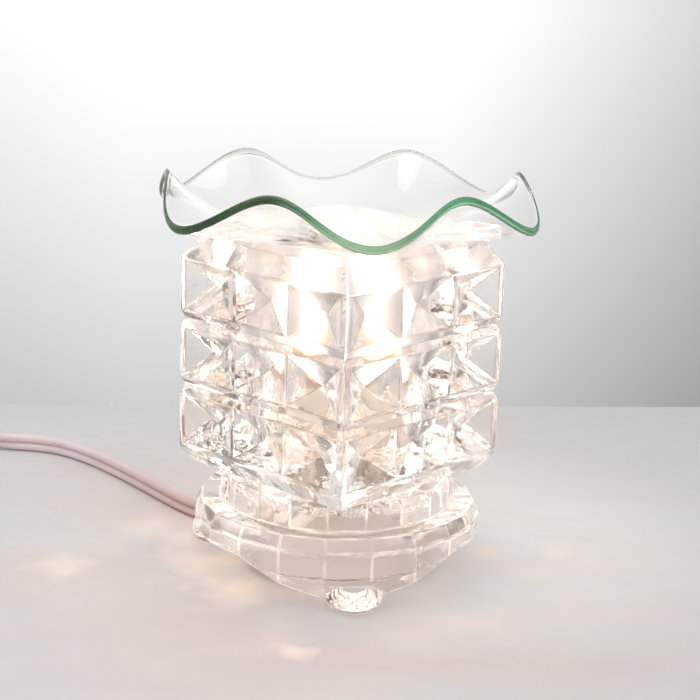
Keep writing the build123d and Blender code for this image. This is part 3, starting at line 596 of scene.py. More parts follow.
def weigh_edges(piece, least_angle, share):
    """Marks each sharp edge with the share of the rounding that its middle gets. The others stay sharp.

    The mesh is cut at the bottom of the rounding, so that it can end there.
    """
    shape = bmesh.new()
    shape.from_mesh(piece.data)
    whole = shape.verts[:] + shape.edges[:] + shape.faces[:]
    bmesh.ops.bisect_plane(shape, geom=whole, dist=1e-6, plane_co=UP * ROUNDING_BOTTOM, plane_no=UP)
    weight = shape.edges.layers.float.new("bevel_weight_edge")
    for edge in shape.edges:
        if len(edge.link_faces) == 2 and edge.calc_face_angle() > least_angle:
            edge[weight] = share((edge.verts[0].co + edge.verts[1].co) / 2)
            edge.smooth = edge[weight] > 0 or edge.calc_face_angle() < 1.2 * least_angle
    shape.to_mesh(piece.data)
    shape.free()


def round_edges(piece, width, segments=2, least_angle=20.0, slot=-1, share=None):
    """Rounds the edges sharper than the least angle in degrees, all alike or by the share at their middle."""
    smooth(piece)
    if share is not None:
        weigh_edges(piece, math.radians(least_angle), share)
    bevel = piece.modifiers.new("rounding", "BEVEL")
    bevel.width = width
    bevel.segments = segments
    bevel.limit_method = "ANGLE" if share is None else "WEIGHT"
    bevel.use_clamp_overlap = share is None
    bevel.angle_limit = math.radians(least_angle)
    bevel.harden_normals = True
    bevel.material = slot
    return settle(piece)


def copy_of(node, name):
    """A welded copy of a node's mesh, with its flat faces joined."""
    shape = bmesh.new()
    shape.from_mesh(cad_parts[node].data)
    bmesh.ops.remove_doubles(shape, verts=shape.verts, dist=1e-6)
    limit = math.radians(0.3)
    bmesh.ops.dissolve_limit(shape, angle_limit=limit, verts=shape.verts, edges=shape.edges)
    return keep_shape(name, shape)


def finish_piece(piece, body, slot, material, *nodes):
    """Gives a piece its material and body and hides the nodes that it stands for. The slot is not used."""
    if material is not None:
        piece.data.materials.clear()
        piece.data.materials.append(material)
    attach(piece, body)
    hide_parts(*nodes)
    return piece


def dressed_copy(node, body, slot, material, edge, segments=2):
    """A node's copy with rounded edges and a finish, in the node's place."""
    piece = round_edges(copy_of(node, node + "_finished"), edge, segments)
    return finish_piece(piece, body, slot, material, node)


def pressed_copy(node, material, edging, edge, share=None):
    """A node's copy in glass whose rounded edges have a glass of their own."""
    piece = copy_of(node, node + "_finished")
    piece.data.materials.append(material)
    piece.data.materials.append(edging)
    round_edges(piece, edge, segments=3, least_angle=13.0, slot=1, share=share)
    return finish_piece(piece, ROOT, "clear_glass", None, node)


def slim(piece, share):
    """Draws a piece in towards its middle height, so that its faces stand clear of the glass about it."""
    heights = [vertex.co.z for vertex in piece.data.vertices]
    level = (min(heights) + max(heights)) / 2
    for vertex in piece.data.vertices:
        vertex.co.z = level + (vertex.co.z - level) * share


# Geometry Nodes

# The share of the dish's profile, on each side of its middle, that goes round the rim
RIM_SHARE = 0.05


def node_group(name, sockets):
    """An empty geometry tree with its named inputs."""
    tree = bpy.data.node_groups.new(name, "GeometryNodeTree")
    tree.interface.new_socket("Geometry", in_out="OUTPUT", socket_type="NodeSocketGeometry")
    for socket, kind in sockets:
        tree.interface.new_socket(socket, in_out="INPUT", socket_type="NodeSocket" + kind)
    return tree


def run_nodes(name, tree, values):
    """Runs a geometry tree on an empty mesh with these input values and keeps the plain mesh."""
    piece = link(name, bpy.data.meshes.new(name))
    modifier = piece.modifiers.new(tree.name, "NODES")
    modifier.node_group = tree
    for item in tree.interface.items_tree:
        if item.in_out == "INPUT":
            modifier[item.identifier] = values[item.name]
    return settle(piece)


def weld_outwards(piece):
    """Joins the seams of a closed piece and turns its faces outwards."""
    shape = bmesh.new()
    shape.from_mesh(piece.data)
    bmesh.ops.remove_doubles(shape, verts=shape.verts, dist=1e-6)
    bmesh.ops.dissolve_degenerate(shape, edges=shape.edges, dist=1e-7)
    bmesh.ops.recalc_face_normals(shape, faces=shape.faces)
    shape.to_mesh(piece.data)
    shape.free()
    return piece


def dish_nodes():
    """The wavy dish: a closed profile carried round the axis, with its cut edge in its own material."""
    lengths = ["Radius", "Flat Radius", "Thickness", "Rise", "Bottom"]
    lengths += ["Wave Spread", "Wave Drop", "Wave Turn"]
    counts = ["Wave Count", "Steps Round", "Steps Along"]
    sockets = [(name, "Float") for name in lengths] + [(name, "Int") for name in counts]
    tree = node_group("wavy_dish", sockets + [("Plate", "Material"), ("Edge", "Material")])
    given = put(tree, "NodeGroupInput").outputs
    steps = {"Vertices X": plus(given["Steps Along"], 1.0), "Vertices Y": plus(given["Steps Round"], 1.0)}
    grid = put(tree, "GeometryNodeMeshGrid", {"Size X": 1.0, "Size Y": 1.0, **steps})
    sides = sides_of(put(tree, "GeometryNodeInputPosition").outputs[0])
    along = plus(sides["X"], 0.5)
    turn = times(plus(sides["Y"], 0.5), 2 * math.pi)
    half = times(given["Thickness"], 0.5)
    bulge = times(given["Thickness"], 0.3)
    inner = minus(given["Radius"], bulge)
    nearer = calc("MINIMUM", along, minus(1.0, along))
    radius = times(ranged(nearer, 0.0, 0.5 - RIM_SHARE, 0.0, 1.0), inner)
    share = ranged(radius, given["Flat Radius"], inner, 0.0, 1.0)
    turned = minus(turn, given["Wave Turn"])
    wave = calc("COSINE", times(turned, given["Wave Count"]))
    wave = times(wave, calc("POWER", share, 1.6))
    round_rim = ranged(along, 0.5 - RIM_SHARE, 0.5 + RIM_SHARE, 0.0, math.pi)
    reach = plus(radius, times(wave, given["Wave Spread"]))
    reach = plus(reach, times(calc("SINE", round_rim), bulge))
    rise = times(calc("POWER", share, 1.5), given["Rise"])
    height = minus(rise, times(wave, given["Wave Drop"]))
    height = plus(height, plus(given["Bottom"], half))
    height = minus(height, times(calc("COSINE", round_rim), half))
    x = times(reach, calc("SINE", turn))
    y = times(reach, times(calc("COSINE", turn), -1.0))
    spot = put(tree, "ShaderNodeCombineXYZ", {"X": x, "Y": y, "Z": height})
    inputs = {"Geometry": grid.outputs["Mesh"], "Name": "profile", "Value": along}
    marked = put(tree, "GeometryNodeStoreNamedAttribute", inputs, data_type="FLOAT", domain="POINT")
    shifts = {"Geometry": marked.outputs[0], "Position": spot.outputs[0]}
    moved = put(tree, "GeometryNodeSetPosition", shifts)
    profile = put(tree, "GeometryNodeInputNamedAttribute", {"Name": "profile"}, data_type="FLOAT")
    on_edge = calc("LESS_THAN", off(profile.outputs[0], 0.5), RIM_SHARE + 0.002)
    merged = put(tree, "GeometryNodeMergeByDistance", {"Geometry": moved.outputs[0], "Distance": 1e-6})
    real = put(tree, "GeometryNodeRealizeInstances", {0: merged.outputs[0]})
    plate = put(tree, "GeometryNodeSetMaterial", {"Geometry": real.outputs[0], "Material": given["Plate"]})
    choice = {"Geometry": plate.outputs[0], "Selection": on_edge, "Material": given["Edge"]}
    edge = put(tree, "GeometryNodeSetMaterial", choice)
    put(tree, "NodeGroupOutput", {"Geometry": edge.outputs[0]})
    return tree


def wheel_nodes():
    """The thumb wheel: a disc whose outline dips into even notches."""
    sockets = [("Radius", "Float"), ("Thickness", "Float"), ("Notch Depth", "Float")]
    sockets += [("Notches", "Int"), ("Steps", "Int"), ("Centre", "Vector"), ("Finish", "Material")]
    tree = node_group("notched_wheel", sockets)
    given = put(tree, "NodeGroupInput").outputs
    outline = {"Vertices": given["Steps"], "Radius": given["Radius"]}
    ring = put(tree, "GeometryNodeMeshCircle", outline, fill_type="NGON")
    place = put(tree, "GeometryNodeInputPosition").outputs[0]
    sides = sides_of(place)
    turn = calc("ARCTAN2", sides["Y"], sides["X"])
    wave = calc("COSINE", times(turn, given["Notches"]))
    dip = calc("POWER", ranged(wave, -1.0, 1.0, 0.0, 1.0), 3.0)
    dip = times(dip, given["Notch Depth"])
    share = minus(1.0, calc("DIVIDE", dip, given["Radius"]))
    scaled = put(tree, "ShaderNodeVectorMath", {0: place, "Scale": share}, operation="SCALE").outputs[0]
    notched = put(tree, "GeometryNodeSetPosition", {"Geometry": ring.outputs[0], "Position": scaled})
    inputs = {"Mesh": notched.outputs[0], "Offset Scale": given["Thickness"], "Individual": False}
    thick = put(tree, "GeometryNodeExtrudeMesh", inputs, mode="FACES")
    under = put(tree, "GeometryNodeFlipFaces", {0: notched.outputs[0]})
    both = put(tree, "GeometryNodeJoinGeometry", {0: thick.outputs[0]})
    tree.links.new(under.outputs[0], both.inputs[0])
    placed = put(tree, "GeometryNodeSetPosition", {"Geometry": both.outputs[0], "Offset": given["Centre"]})
    merged = put(tree, "GeometryNodeMergeByDistance", {"Geometry": placed.outputs[0], "Distance": 1e-6})
    real = put(tree, "GeometryNodeRealizeInstances", {0: merged.outputs[0]})
    done = put(tree, "GeometryNodeSetMaterial", {"Geometry": real.outputs[0], "Material": given["Finish"]})
    put(tree, "NodeGroupOutput", {"Geometry": done.outputs[0]})
    return tree


# Cord

SWITCH_HEADING = Vector((-0.925547, 0.378633, 0.0))
SWITCH_END = Vector((-0.186022, 0.133145, 0.0055))
ON_EDGE_UNTIL = 0.14
FLAT_FROM = 0.17

CORD_ROUTE = [
    Vector((-0.0190, 0.0182, 0.0033)),
    Vector((-0.0335, 0.0279, 0.0033)),
    Vector((-0.0480, 0.0360, 0.0033)),
    Vector((-0.0580, 0.0490, 0.0033)),
    Vector((-0.0683, 0.0642, 0.0033)),
    Vector((-0.0788, 0.0788, 0.0033)),
    Vector((-0.0880, 0.0905, 0.0033)),
    Vector((-0.0970, 0.1000, 0.0033)),
    Vector((-0.1060, 0.1070, 0.0033)),
    Vector((-0.1170, 0.1105, 0.0033)),
    Vector((-0.1280, 0.1108, 0.0035)),
    Vector((-0.1380, 0.1135, 0.0055)),
    Vector((-0.1490, 0.1180, 0.0055)),
]
TAIL_STEPS = [
    Vector((0.0, 0.0, 0.0)),
    SWITCH_HEADING * 0.010,
    Vector((-0.0203, 0.0040, -0.00145)),
    Vector((-0.0306, 0.0002, -0.0029)),
    Vector((-0.0389, -0.0070, -0.0029)),
    Vector((-0.0474, -0.0206, -0.0029)),
]

COIL_HEADING = Vector((-0.45253, -0.89173, 0.0))
COIL_AXIS = Vector((-0.89173, 0.45253, 0.0))
COIL_CENTRE = Vector((-0.202544, 0.072848, 0.0))
COIL_LOW = 0.0026
COIL_HIGH = 0.0064
COIL_REACH = 0.0455
COIL_INNERMOST = 0.0210
COIL_STEP = 0.0035
COIL_LEAVE = Vector((-0.230284, 0.018185, COIL_HIGH))
COIL_END = Vector((-0.225660, 0.013760, COIL_HIGH))
POINTS_PER_HALF_TURN = 10


def coil_reaches():
    """How far from the middle the cord crosses the coil's axis, inwards on the floor and out again on top."""
    turns = round((COIL_REACH - COIL_INNERMOST) / COIL_STEP)
    inward = [COIL_REACH - COIL_STEP * i for i in range(turns)]
    outward = [COIL_REACH - COIL_STEP * i for i in range(turns - 3, -1, -1)]
    return inward, [COIL_INNERMOST] + outward


def coil_points():
    """The control points of the coil's turns, worked out half turn by half turn."""
    inward, outward = coil_reaches()
    heights = [COIL_LOW] * len(inward) + [COIL_HIGH] * len(outward)
    crossings = [reach * (-1) ** i for i, reach in enumerate(inward + outward)]
    points = []
    for i in range(len(crossings) - 1):
        mean = (crossings[i] + crossings[i + 1]) / 2
        half = (crossings[i] - crossings[i + 1]) / 2
        for step in range(POINTS_PER_HALF_TURN):
            share = step / POINTS_PER_HALF_TURN
            turn = math.pi * share
            side = COIL_AXIS * (mean + half * math.cos(turn))
            ahead = COIL_HEADING * (abs(half) * math.sin(turn) * (-1) ** i)
            rise = UP * (heights[i] + (heights[i + 1] - heights[i]) * share)
            points.append(COIL_CENTRE + side + ahead + rise)
    return points, COIL_CENTRE + COIL_AXIS * crossings[-1] + UP * COIL_HIGH


def cord_controls():
    """All control points of the cord's one spline, from the base to the plug."""
    tail = [SWITCH_END + step for step in TAIL_STEPS]
    turns, last = coil_points()
    leaving = [last, (last + COIL_LEAVE) / 2 + COIL_HEADING * 0.012, COIL_LEAVE, COIL_END]
    return CORD_ROUTE + tail + turns + leaving


def spline_points(name, controls, resolution):
    """Points along a smooth spline through the route."""
    curve = bpy.data.curves.new(name, "CURVE")
    curve.dimensions = "3D"
    curve.resolution_u = resolution
    spline = curve.splines.new("NURBS")
    spline.points.add(len(controls) - 1)
    for point, spot in zip(spline.points, controls):
        point.co = (*spot, 1.0)
    spline.order_u = 3
    spline.use_endpoint_u = True
    line = link(name, curve)
    bpy.context.view_layer.update()
    mesh = bpy.data.meshes.new_from_object(line.evaluated_get(bpy.context.evaluated_depsgraph_get()))
    points = [vertex.co.copy() for vertex in mesh.vertices]
    bpy.data.objects.remove(line)
    bpy.data.meshes.remove(mesh)
    return points


def twin_section(width, height):
    """The outline of two round cores joined by a narrow web, in width and height."""
    core = height / 2
    reach = width / 2 - core
    lobe = [math.radians(a) for a in range(-150, 151, 30)]
    right = [(reach + core * math.cos(a), core * math.sin(a)) for a in lobe]
    left = [(-x, -y) for x, y in right]
    dip = core * 0.1
    return right + [(0.0, dip)] + left + [(0.0, -dip)]


def tube_along(name, points, section, rolls):
    """Carries an outline along points. Its width lies level where the roll is zero."""
    shape = bmesh.new()
    rings = []
    for i, point in enumerate(points):
        ahead = (points[min(i + 1, len(points) - 1)] - points[max(i - 1, 0)]).normalized()
        level = UP.cross(ahead).normalized()
        upright = ahead.cross(level)
        turn = Matrix.Rotation(rolls[i], 3, ahead)
        wide = turn @ level
        tall = turn @ upright
        rings.append([shape.verts.new(point + wide * x + tall * y) for x, y in section])
    count = len(section)
    for first, second in zip(rings, rings[1:]):
        for i in range(count):
            j = (i + 1) % count
            shape.faces.new((first[i], first[j], second[j], second[i]))
    shape.faces.new(rings[0])
    shape.faces.new(rings[-1])
    bmesh.ops.recalc_face_normals(shape, faces=shape.faces)
    return smooth(keep_shape(name, shape))


def distances_along(points):
    """The distance along the path at each point."""
    far = [0.0]
    for first, second in zip(points, points[1:]):
        far.append(far[-1] + (second - first).length)
    return far


def ease(value, start, end):
    share = min(1.0, max(0.0, (value - start) / (end - start)))
    return share * share * (3 - 2 * share)


# Operators

class WarmerOperator:
    bl_options = {"REGISTER", "UNDO"}

    @property
    def sizes(self):
        return bpy.context.scene.warmer_sizes

    @property
    def colours(self):
        return bpy.context.scene.warmer_colours

    @property
    def staging(self):
        return bpy.context.scene.warmer_stage


class WARMER_OT_stage(WarmerOperator, bpy.types.Operator):
    """Sets up the camera, the pale table and wall, the light of the room and the softbox"""

    bl_idname = "warmer.stage"
    bl_label = "Stage"

    def execute(self, context):
        self.place_camera(context.scene)
        self.lay_table()
        self.raise_wall()
        self.fill_world(context.scene)
        self.hang_softbox()
        context.scene.view_settings.view_transform = "Standard"
        return {"FINISHED"}

    def place_camera(self, scene):
        staging = self.staging
        camera = bpy.data.cameras.new("camera")
        camera.sensor_width = 36.0
        camera.lens = staging.lens
        holder = link("camera", camera)
        level = math.cos(staging.tilt)
        aside, forward = math.sin(staging.heading) * level, math.cos(staging.heading) * level
        ahead = Vector((aside, forward, -math.sin(staging.tilt)))
        turned = ahead.to_track_quat("-Z", "Y") @ Matrix.Rotation(staging.roll, 3, "Z").to_quaternion()
        holder.location = staging.eye
        holder.rotation_mode = "QUATERNION"
        holder.rotation_quaternion = turned
        scene.camera = holder

    def plane(self, name, corners, material):
        mesh = bpy.data.meshes.new(name)
        mesh.from_pydata(corners, [], [(0, 1, 2, 3)])
        piece = link(name, mesh)
        piece.data.materials.append(material)
        return piece

    def lay_table(self):
        material, tree, shader = blank_material("pale_table")
        place = own_place(tree)
        away = distance(place)
        tone = self.table_tone(tree, place, away)
        tone = blend_colours(self.cast_light(tree, place, away), tone, CAST_TONE)
        fill(shader, {"Base Color": tone, "Roughness": 0.5})
        raise_bumps(shader, noise(tree, 700.0, 3.0), 0.00004)
        # Seen through glass the table gives off painted light that fades with distance, in place of its lit
        # colour
        through = ray(tree, "Is Transmission Ray")
        level = ranged(away, 0.10, 0.4, 1.0, 0.42)
        light = put(tree, "ShaderNodeEmission", {"Color": rgba(TABLE_THROUGH_GLASS), "Strength": level})
        mix_shaders(times(through, 0.9), shader, light)
        far = 3.0
        self.plane("table", [(-far, -far, 0), (far, -far, 0), (far, far, 0), (-far, far, 0)], material)

    def table_tone(self, tree, place, away):
        """The table's colour with painted light: the lamp's warm light painted near the lamp, cooler in
        clouds, a painted lighter patch beside the base where its shadow falls, with flecks.
        """
        # Painted warm light of the lamp, strongest near the base
        near = ranged(away, 0.05, 0.17, 1.0, 0.0)
        tone = blend_colours(near, TABLE_TONE, TABLE_LAMP_WARMTH)
        clouds = ranged(noise(tree, 8.0, 3.0, (1, 2.2, 1), 0.4), 0.42, 0.62, 0.0, 0.6)
        tone = blend_colours(clouds, tone, TABLE_COOL)
        # Painted light that lifts the shade beside the base
        beside = ranged(distance(place, PAINTED_LIGHT_SPOT), 0.0, 0.11, 0.85, 0.0)
        tone = blend_colours(beside, tone, TABLE_PAINTED_LIGHT)
        flecks = ranged(noise(tree, 26.0, 4.0, (1, 2.5, 1)), 0.3, 0.7, 0.0, 0.12)
        return blend_colours(flecks, tone, TABLE_FLECK)

    def cast_light(self, tree, place, away):
        """How much of the lamp's light lies on the table: faint rays about the base and a few patches."""
        sides = sides_of(place)
        round_about = times(calc("ARCTAN2", sides["Y"], sides["X"]), 2.2)
        outward = times(away, 30.0)
        spot = put(tree, "ShaderNodeCombineXYZ", {"X": round_about, "Y": outward}).outputs[0]
        inputs = {"Vector": spot, "Scale": 1.0, "Detail": 1.5, "Distortion": 0.6}
        rays = put(tree, "ShaderNodeTexNoise", inputs).outputs["Fac"]
        fading = ranged(away, 0.05, 0.11, 0.4, 0.0)
        light = times(ranged(rays, 0.45, 0.8, 0.0, 1.0), fading)
        uneven = ranged(noise(tree, 60.0, 3.0), 0.3, 0.7, -0.006, 0.006)
        for x, y, reach, weight in CAST_LIGHT:
            gap = plus(distance(place, (x, y, 0)), uneven)
            light = calc("MAXIMUM", light, ranged(gap, 0.1 * reach, reach, weight, 0.0))
        return light

    def raise_wall(self):
        material, tree, shader = blank_material("pale_wall")
        # The wall gives off painted light for the rays that see it: brighter towards the top, with painted
        # shade to the right, a little to the left and, through glass, at its sides. Through glass it is
        # warmer, and warmer still deep in the glass, as painted lamp light.
        sides = own_sides(tree)
        through = ray(tree, "Is Transmission Ray")
        aside = times(calc("ABSOLUTE", sides["X"]), through)
        level = ranged(sides["Z"], 0.0, 0.168, 0.635, 1.12)
        darker_right = ranged(sides["X"], 0.046, 0.160, 1.0, 0.6)
        darker_left = ranged(sides["X"], -0.135, -0.085, 0.91, 1.0)
        darker_through_glass = ranged(aside, 0.12, 0.36, 1.0, 0.32)
        for share in (darker_right, darker_left, darker_through_glass):
            level = times(level, share)
        deep = times(through, ranged(ray(tree, "Ray Depth"), 2.0, 7.0, 0.0, 1.0))
        tone = blend_colours(through, WALL_TONE, WALL_THROUGH_GLASS)
        tone = blend_colours(deep, tone, WALL_DEEP_IN_GLASS)
        fill(shader, {"Base Color": rgba((0.8, 0.8, 0.8))})
        light = put(tree, "ShaderNodeEmission", {"Color": tone, "Strength": level})
        front = mix_shaders(seen_rays(tree), shader, light)
        from_behind = put(tree, "ShaderNodeNewGeometry").outputs["Backfacing"]
        mix_shaders(from_behind, front, put(tree, "ShaderNodeBsdfTransparent"))
        reach, top, y = 1.5, 1.5, self.staging.wall_distance
        slant = reach * math.tan(self.staging.wall_turn)
        left, right = (-reach, y - slant), (reach, y + slant)
        corners = [(*left, 0), (*right, 0), (*right, top), (*left, top)]
        wall = self.plane("wall", corners, material)
        wall.visible_shadow = False

    def fill_world(self, scene):
        world = bpy.data.worlds.new("soft_room")
        scene.world = world
        world.use_nodes = True
        tree = world.node_tree
        sides = sides_of(put(tree, "ShaderNodeTexCoord").outputs["Generated"])
        height = ranged(sides["Z"], -0.1, 0.6, 0.0, 1.0)
        room = blend_colours(height, ROOM_LOW, ROOM_HIGH)
        away = ranged(sides["Y"], -0.95, 0.1, 0.0, 1.0)
        shown = blend_colours(height, FRONT_LOW, FRONT_HIGH)
        shown = blend_colours(away, shown, ROOM_BEHIND)
        aside = ranged(calc("ABSOLUTE", sides["X"]), 0.55, 0.85, 0.0, 1.0)
        shown = blend_colours(aside, shown, ROOM_SIDES)
        tone = blend_colours(seen_rays(tree), room, shown)
        fill(tree.nodes["Background"], {"Color": tone, "Strength": 1.0})
        for kind in ("max_bounces", "glossy_bounces", "transmission_bounces", "transparent_max_bounces"):
            setattr(scene.cycles, kind, 32)

    def hang_softbox(self):
        lamp = bpy.data.lights.new("top_softbox", "AREA")
        lamp.energy = self.staging.softbox_power
        lamp.size = 0.8
        holder = link("top_softbox", lamp)
        holder.location = (-0.35, -0.15, 0.95)
        aim = Vector((0, 0, 0.05)) - holder.location
        holder.rotation_euler = aim.to_track_quat("-Z", "Y").to_euler()


class WARMER_OT_cord(WarmerOperator, bpy.types.Operator):
    """Lays the flat twin cord from the base through the switch and the coil to the plug"""

    bl_idname = "warmer.cord"
    bl_label = "Cord"

    def execute(self, context):
        points = spline_points("cord_line", cord_controls(), resolution=6)
        far = distances_along(points)
        rolls = [math.radians(90.0) * (1 - ease(d, ON_EDGE_UNTIL, FLAT_FROM)) for d in far]
        section = twin_section(self.sizes.cord_width, self.sizes.cord_height)
        cord = tube_along("cord", points, section, rolls)
        finish_piece(cord, ROOT, "cord_vinyl", vinyl(self.colours), "power_cord", "switch_cord", "cord_coil")
        pieces = ["cord_tie_finished", "switch_lower_shell_finished", "switch_upper_shell_finished"]
        pieces += ["thumb_wheel", "switch_pin_finished", "switch_screws_finished"]
        pieces += ["plug_body_finished", "plug_blades_finished"]
        return {"FINISHED"}


class WARMER_OT_dish(WarmerOperator, bpy.types.Operator):
    """Makes the wavy glass dish with its green cut edge"""

    bl_idname = "warmer.dish"
    bl_label = "Dish"

    def execute(self, context):
        sizes = self.sizes
        values = {
            "Radius": sizes.dish_radius,
            "Flat Radius": sizes.dish_flat_radius,
            "Thickness": sizes.dish_thickness,
            "Rise": sizes.dish_rise,
            "Wave Spread": sizes.wave_spread,
            "Wave Drop": sizes.wave_drop,
            "Wave Turn": sizes.wave_turn,
            "Bottom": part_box("wax_dish")[0].z,
            "Wave Count": sizes.wave_count,
            "Steps Round": 372,
            "Steps Along": 120,
            "Plate": glass("dish_plate_glass", self.colours.plate_glass, 0.0001, 30.0, shadow=0.97),
            "Edge": green_edge(self.colours),
        }
        dish = smooth(weld_outwards(run_nodes("dish_glass", dish_nodes(), values)))
        finish_piece(dish, DISH, "clear_glass", None, "wax_dish")
        return {"FINISHED"}


class WARMER_OT_pressed_glass(WarmerOperator, bpy.types.Operator):
    """Makes the pitted body and the tiered base of pressed glass, with the ring between them"""

    bl_idname = "warmer.pressed_glass"
    bl_label = "Body and base"

    def execute(self, context):
        self.make_body(self.colours.pressed_glass, (0.0005, 70.0))
        self.make_base(self.colours.base_glass, (0.0003, 60.0))
        ring = dressed_copy("body_gasket", ROOT, "clear_silicone", silicone(), 0.0002)
        slim(ring, share=0.9)
        return {"FINISHED"}

    def make_body(self, tint, waves):
        """The pitted body: rippled glass with painted brown shade along its ribs, with a duller bore round
        the lamp.
        """
        pressed = add_lamp_light(glass("pressed_glass", tint, *waves, RIPPLE), 1.0)
        rib = paint_rib_shade(glass("rib_glass", tint, *waves, RIPPLE), RIB_PAINTED_SHADE, least=0.1, most=1.0)
        body = pressed_copy("glass_body", pressed, rib, self.sizes.glass_edge)
        bore = add_lamp_light(glass("bore_glass", tint, *waves), 0.27)
        dull_by_height(bore, low=0.062, high=0.082, to_low=0.05, to_high=0.34)
        change_glass(body, bore, lambda spot: self.within(spot, BORE_RADIUS, BORE_HEIGHTS))

    def make_base(self, tint, waves):
        """The tiered base: creased panels with bright lines, a duller hollow below and clear feet darkened by
        painted shade.
        """
        fluted = add_lamp_light(glass("fluted_glass", tint, 0.0004, 60.0, RIPPLE), 0.4)
        crease(fluted, PANEL_COUNT, PANEL_TURN, depth=0.0008, bead_height=BEAD_HEIGHT, bead_rise=0.0006)
        lines = light_edges(glass("line_glass", tint, *waves), LAMP_ON_LINES, least=0.03, most=0.3)
        base = pressed_copy("glass_base", fluted, lines, 0.75 * self.sizes.glass_edge, self.on_tier)
        hollow = add_lamp_light(glass("hollow_glass", tint, *waves), 0.27)
        dull_by_height(hollow, low=0.011, high=0.015, to_low=0.4, to_high=0.03)
        change_glass(base, hollow, lambda spot: self.within(spot, HOLLOW_RADIUS, HOLLOW_HEIGHTS))
        # The feet's darker glass is painted shade
        knob = glass("foot_glass", FOOT_PAINTED_SHADE, *waves)
        change_glass(base, knob, lambda spot: spot.z < FOOT_TOP and self.from_foot(spot) < FOOT_RADIUS)

    def within(self, spot, radius, heights):
        """Whether a spot lies inside an upright cylinder about the axis."""
        return spot.xy.length < radius and heights[0] < spot.z < heights[1]

    def from_foot(self, spot):
        """How far a spot is from the nearest foot's axis."""
        turns = [FOOT_TURN + 2 * math.pi * place / FOOT_COUNT for place in range(FOOT_COUNT)]
        feet = [FOOT_REACH * Vector((math.cos(turn), math.sin(turn))) for turn in turns]
        return min((spot.xy - foot).length for foot in feet)

    def on_tier(self, spot):
        """The share of the rounding on the base: the outer tiers, but no feet, hollow or cord notch."""
        outside = spot.xy.length > TIERS_INSIDE and spot.z < TIERS_TOP
        clear = spot.z > ROUNDING_BOTTOM or self.from_foot(spot) > FOOT_CLEAR
        return float(outside and clear and (spot.xy - NOTCH).length > NOTCH_CLEAR)


class WARMER_OT_lamp(WarmerOperator, bpy.types.Operator):
    """Makes the lit capsule with its filament and pins"""

    bl_idname = "warmer.lamp"
    bl_label = "Lamp"

    def execute(self, context):
        strength = self.staging.lamp_strength
        dressed_copy("bulb_envelope", BULB, "quartz", quartz(self.colours, strength), 0.0004)
        filament = tungsten(self.colours, FILAMENT_TIMES_LAMP * strength)
        dressed_copy("bulb_filament", BULB, "tungsten", filament, 0.0001)
        dressed_copy("bulb_pins", BULB, "nickel_wire", plain("nickel_wire"), 0.0001)
        return {"FINISHED"}


class WARMER_OT_holder(WarmerOperator, bpy.types.Operator):
    """Makes the socket, its strap, the pipe with nuts and washers, the leads and the cover underneath"""

    bl_idname = "warmer.holder"
    bl_label = "Lamp holder"

    def execute(self, context):
        steel = lit_through_glass(plain("zinc_steel"), LAMP_ON_HOLDER, 0.4, 0.4)
        grey = lit_through_glass(plain("grey_rubber"), LAMP_ON_HOLDER, 0.6)
        cover = lit_through_glass(plain("cover_fibre"), LAMP_ON_COVER, 0.42, 0.6)
        socket = lit_through_glass(ceramic(self.colours), LAMP_ON_HOLDER, 0.3)
        leads = lit_through_glass(vinyl(self.colours), LAMP_ON_HOLDER, 0.35)
        plan = [
            ("lamp_socket", "ceramic", socket, 0.0004),
            ("socket_contacts", "contact_brass", plain("contact_brass"), 0.0001),
            ("bottom_cover", "cover_fibre", cover, 0.0002),
            ("strain_relief", "grey_rubber", grey, 0.0005),
            ("lead_wires", "cord_vinyl", leads, 0.0001),
        ]
        washers = ("upper_rubber_washer", "lower_rubber_washer")
        plan += [(node, "grey_rubber", grey, 0.00015) for node in washers]
        metal = ("lamp_pipe", "upper_washer", "lower_washer", "upper_nut", "lower_nut", "socket_bracket")
        plan += [(node, "zinc_steel", steel, 0.00015) for node in (*metal, "socket_screws")]
        for node, slot, material, edge in plan:
            dressed_copy(node, ROOT, slot, material, edge)
        return {"FINISHED"}


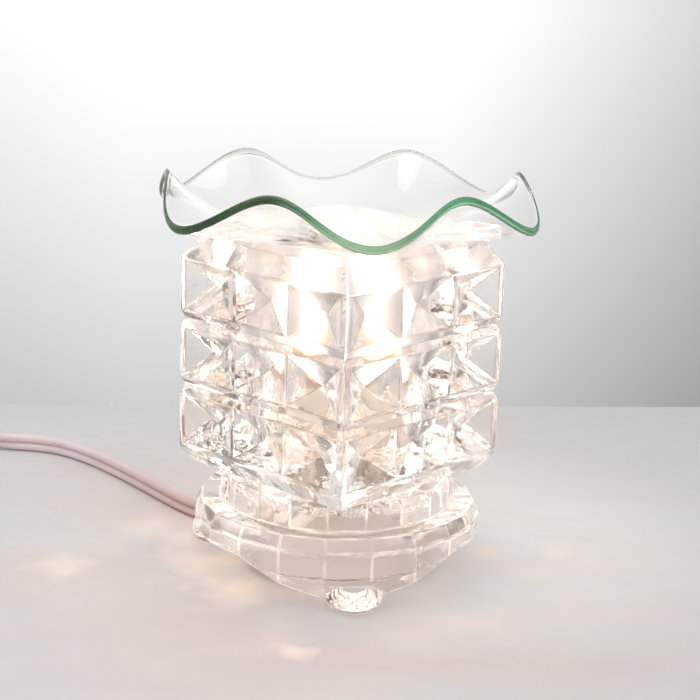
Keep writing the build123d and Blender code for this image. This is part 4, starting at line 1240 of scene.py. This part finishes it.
class WARMER_OT_cord_ends(WarmerOperator, bpy.types.Operator):
    """Makes the cord switch with its notched wheel, the coil's tie and the plug"""

    bl_idname = "warmer.cord_ends"
    bl_label = "Switch, tie and plug"

    def execute(self, context):
        plastic = moulded_plastic(self.colours)
        steel = plain("zinc_steel")
        for node in ("switch_lower_shell", "switch_upper_shell"):
            dressed_copy(node, ROOT, "switch_plastic", plastic, 0.0004)
        for node in ("switch_pin", "switch_screws"):
            dressed_copy(node, ROOT, "zinc_steel", steel, 0.00015)
        dressed_copy("cord_tie", ROOT, "tie_plastic", plain("tie_plastic"), 0.0002)
        dressed_copy("plug_body", ROOT, "cord_vinyl", plastic, 0.0006, 3)
        dressed_copy("plug_blades", ROOT, "contact_brass", plain("contact_brass"), 0.0002)
        self.make_wheel()
        return {"FINISHED"}

    def make_wheel(self):
        low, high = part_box("switch_wheel")
        values = {
            "Radius": (high.x - low.x) / 2,
            "Thickness": high.z - low.z,
            "Notch Depth": self.sizes.notch_depth,
            "Notches": self.sizes.wheel_notches,
            "Steps": STEPS_PER_NOTCH * self.sizes.wheel_notches,
            "Centre": ((low.x + high.x) / 2, (low.y + high.y) / 2, low.z),
            "Finish": wheel_plastic(self.colours),
        }
        wheel = weld_outwards(run_nodes("thumb_wheel", wheel_nodes(), values))
        round_edges(wheel, 0.0003)
        finish_piece(wheel, WHEEL, "wheel_plastic", None, "switch_wheel")


class WARMER_PT_panel(bpy.types.Panel):
    """Lists the steps that dress the warmer"""

    bl_label = "Wax Melt Warmer"
    bl_space_type = "VIEW_3D"
    bl_region_type = "UI"
    bl_category = "Warmer"

    def draw(self, context):
        column = self.layout.column()
        for step in STEPS:
            column.operator(step.bl_idname)
        for group in (context.scene.warmer_sizes, context.scene.warmer_colours, context.scene.warmer_stage):
            box = self.layout.box()
            for name in group.__annotations__:
                box.prop(group, name)


STEPS = (
    WARMER_OT_stage,
    WARMER_OT_dish,
    WARMER_OT_pressed_glass,
    WARMER_OT_lamp,
    WARMER_OT_holder,
    WARMER_OT_cord_ends,
    WARMER_OT_cord,
)
CLASSES = (WarmerSizes, WarmerColours, WarmerStage, *STEPS, WARMER_PT_panel)


def register():
    for each in CLASSES:
        bpy.utils.register_class(each)
    bpy.types.Scene.warmer_sizes = PointerProperty(type=WarmerSizes)
    bpy.types.Scene.warmer_colours = PointerProperty(type=WarmerColours)
    bpy.types.Scene.warmer_stage = PointerProperty(type=WarmerStage)


def unregister():
    del bpy.types.Scene.warmer_stage
    del bpy.types.Scene.warmer_colours
    del bpy.types.Scene.warmer_sizes
    for each in reversed(CLASSES):
        bpy.utils.unregister_class(each)


def main():
    register()
    bpy.ops.warmer.stage()
    bpy.ops.warmer.dish()
    bpy.ops.warmer.pressed_glass()
    bpy.ops.warmer.lamp()
    bpy.ops.warmer.holder()
    bpy.ops.warmer.cord_ends()
    bpy.ops.warmer.cord()


if __name__ == "__main__":
    main()
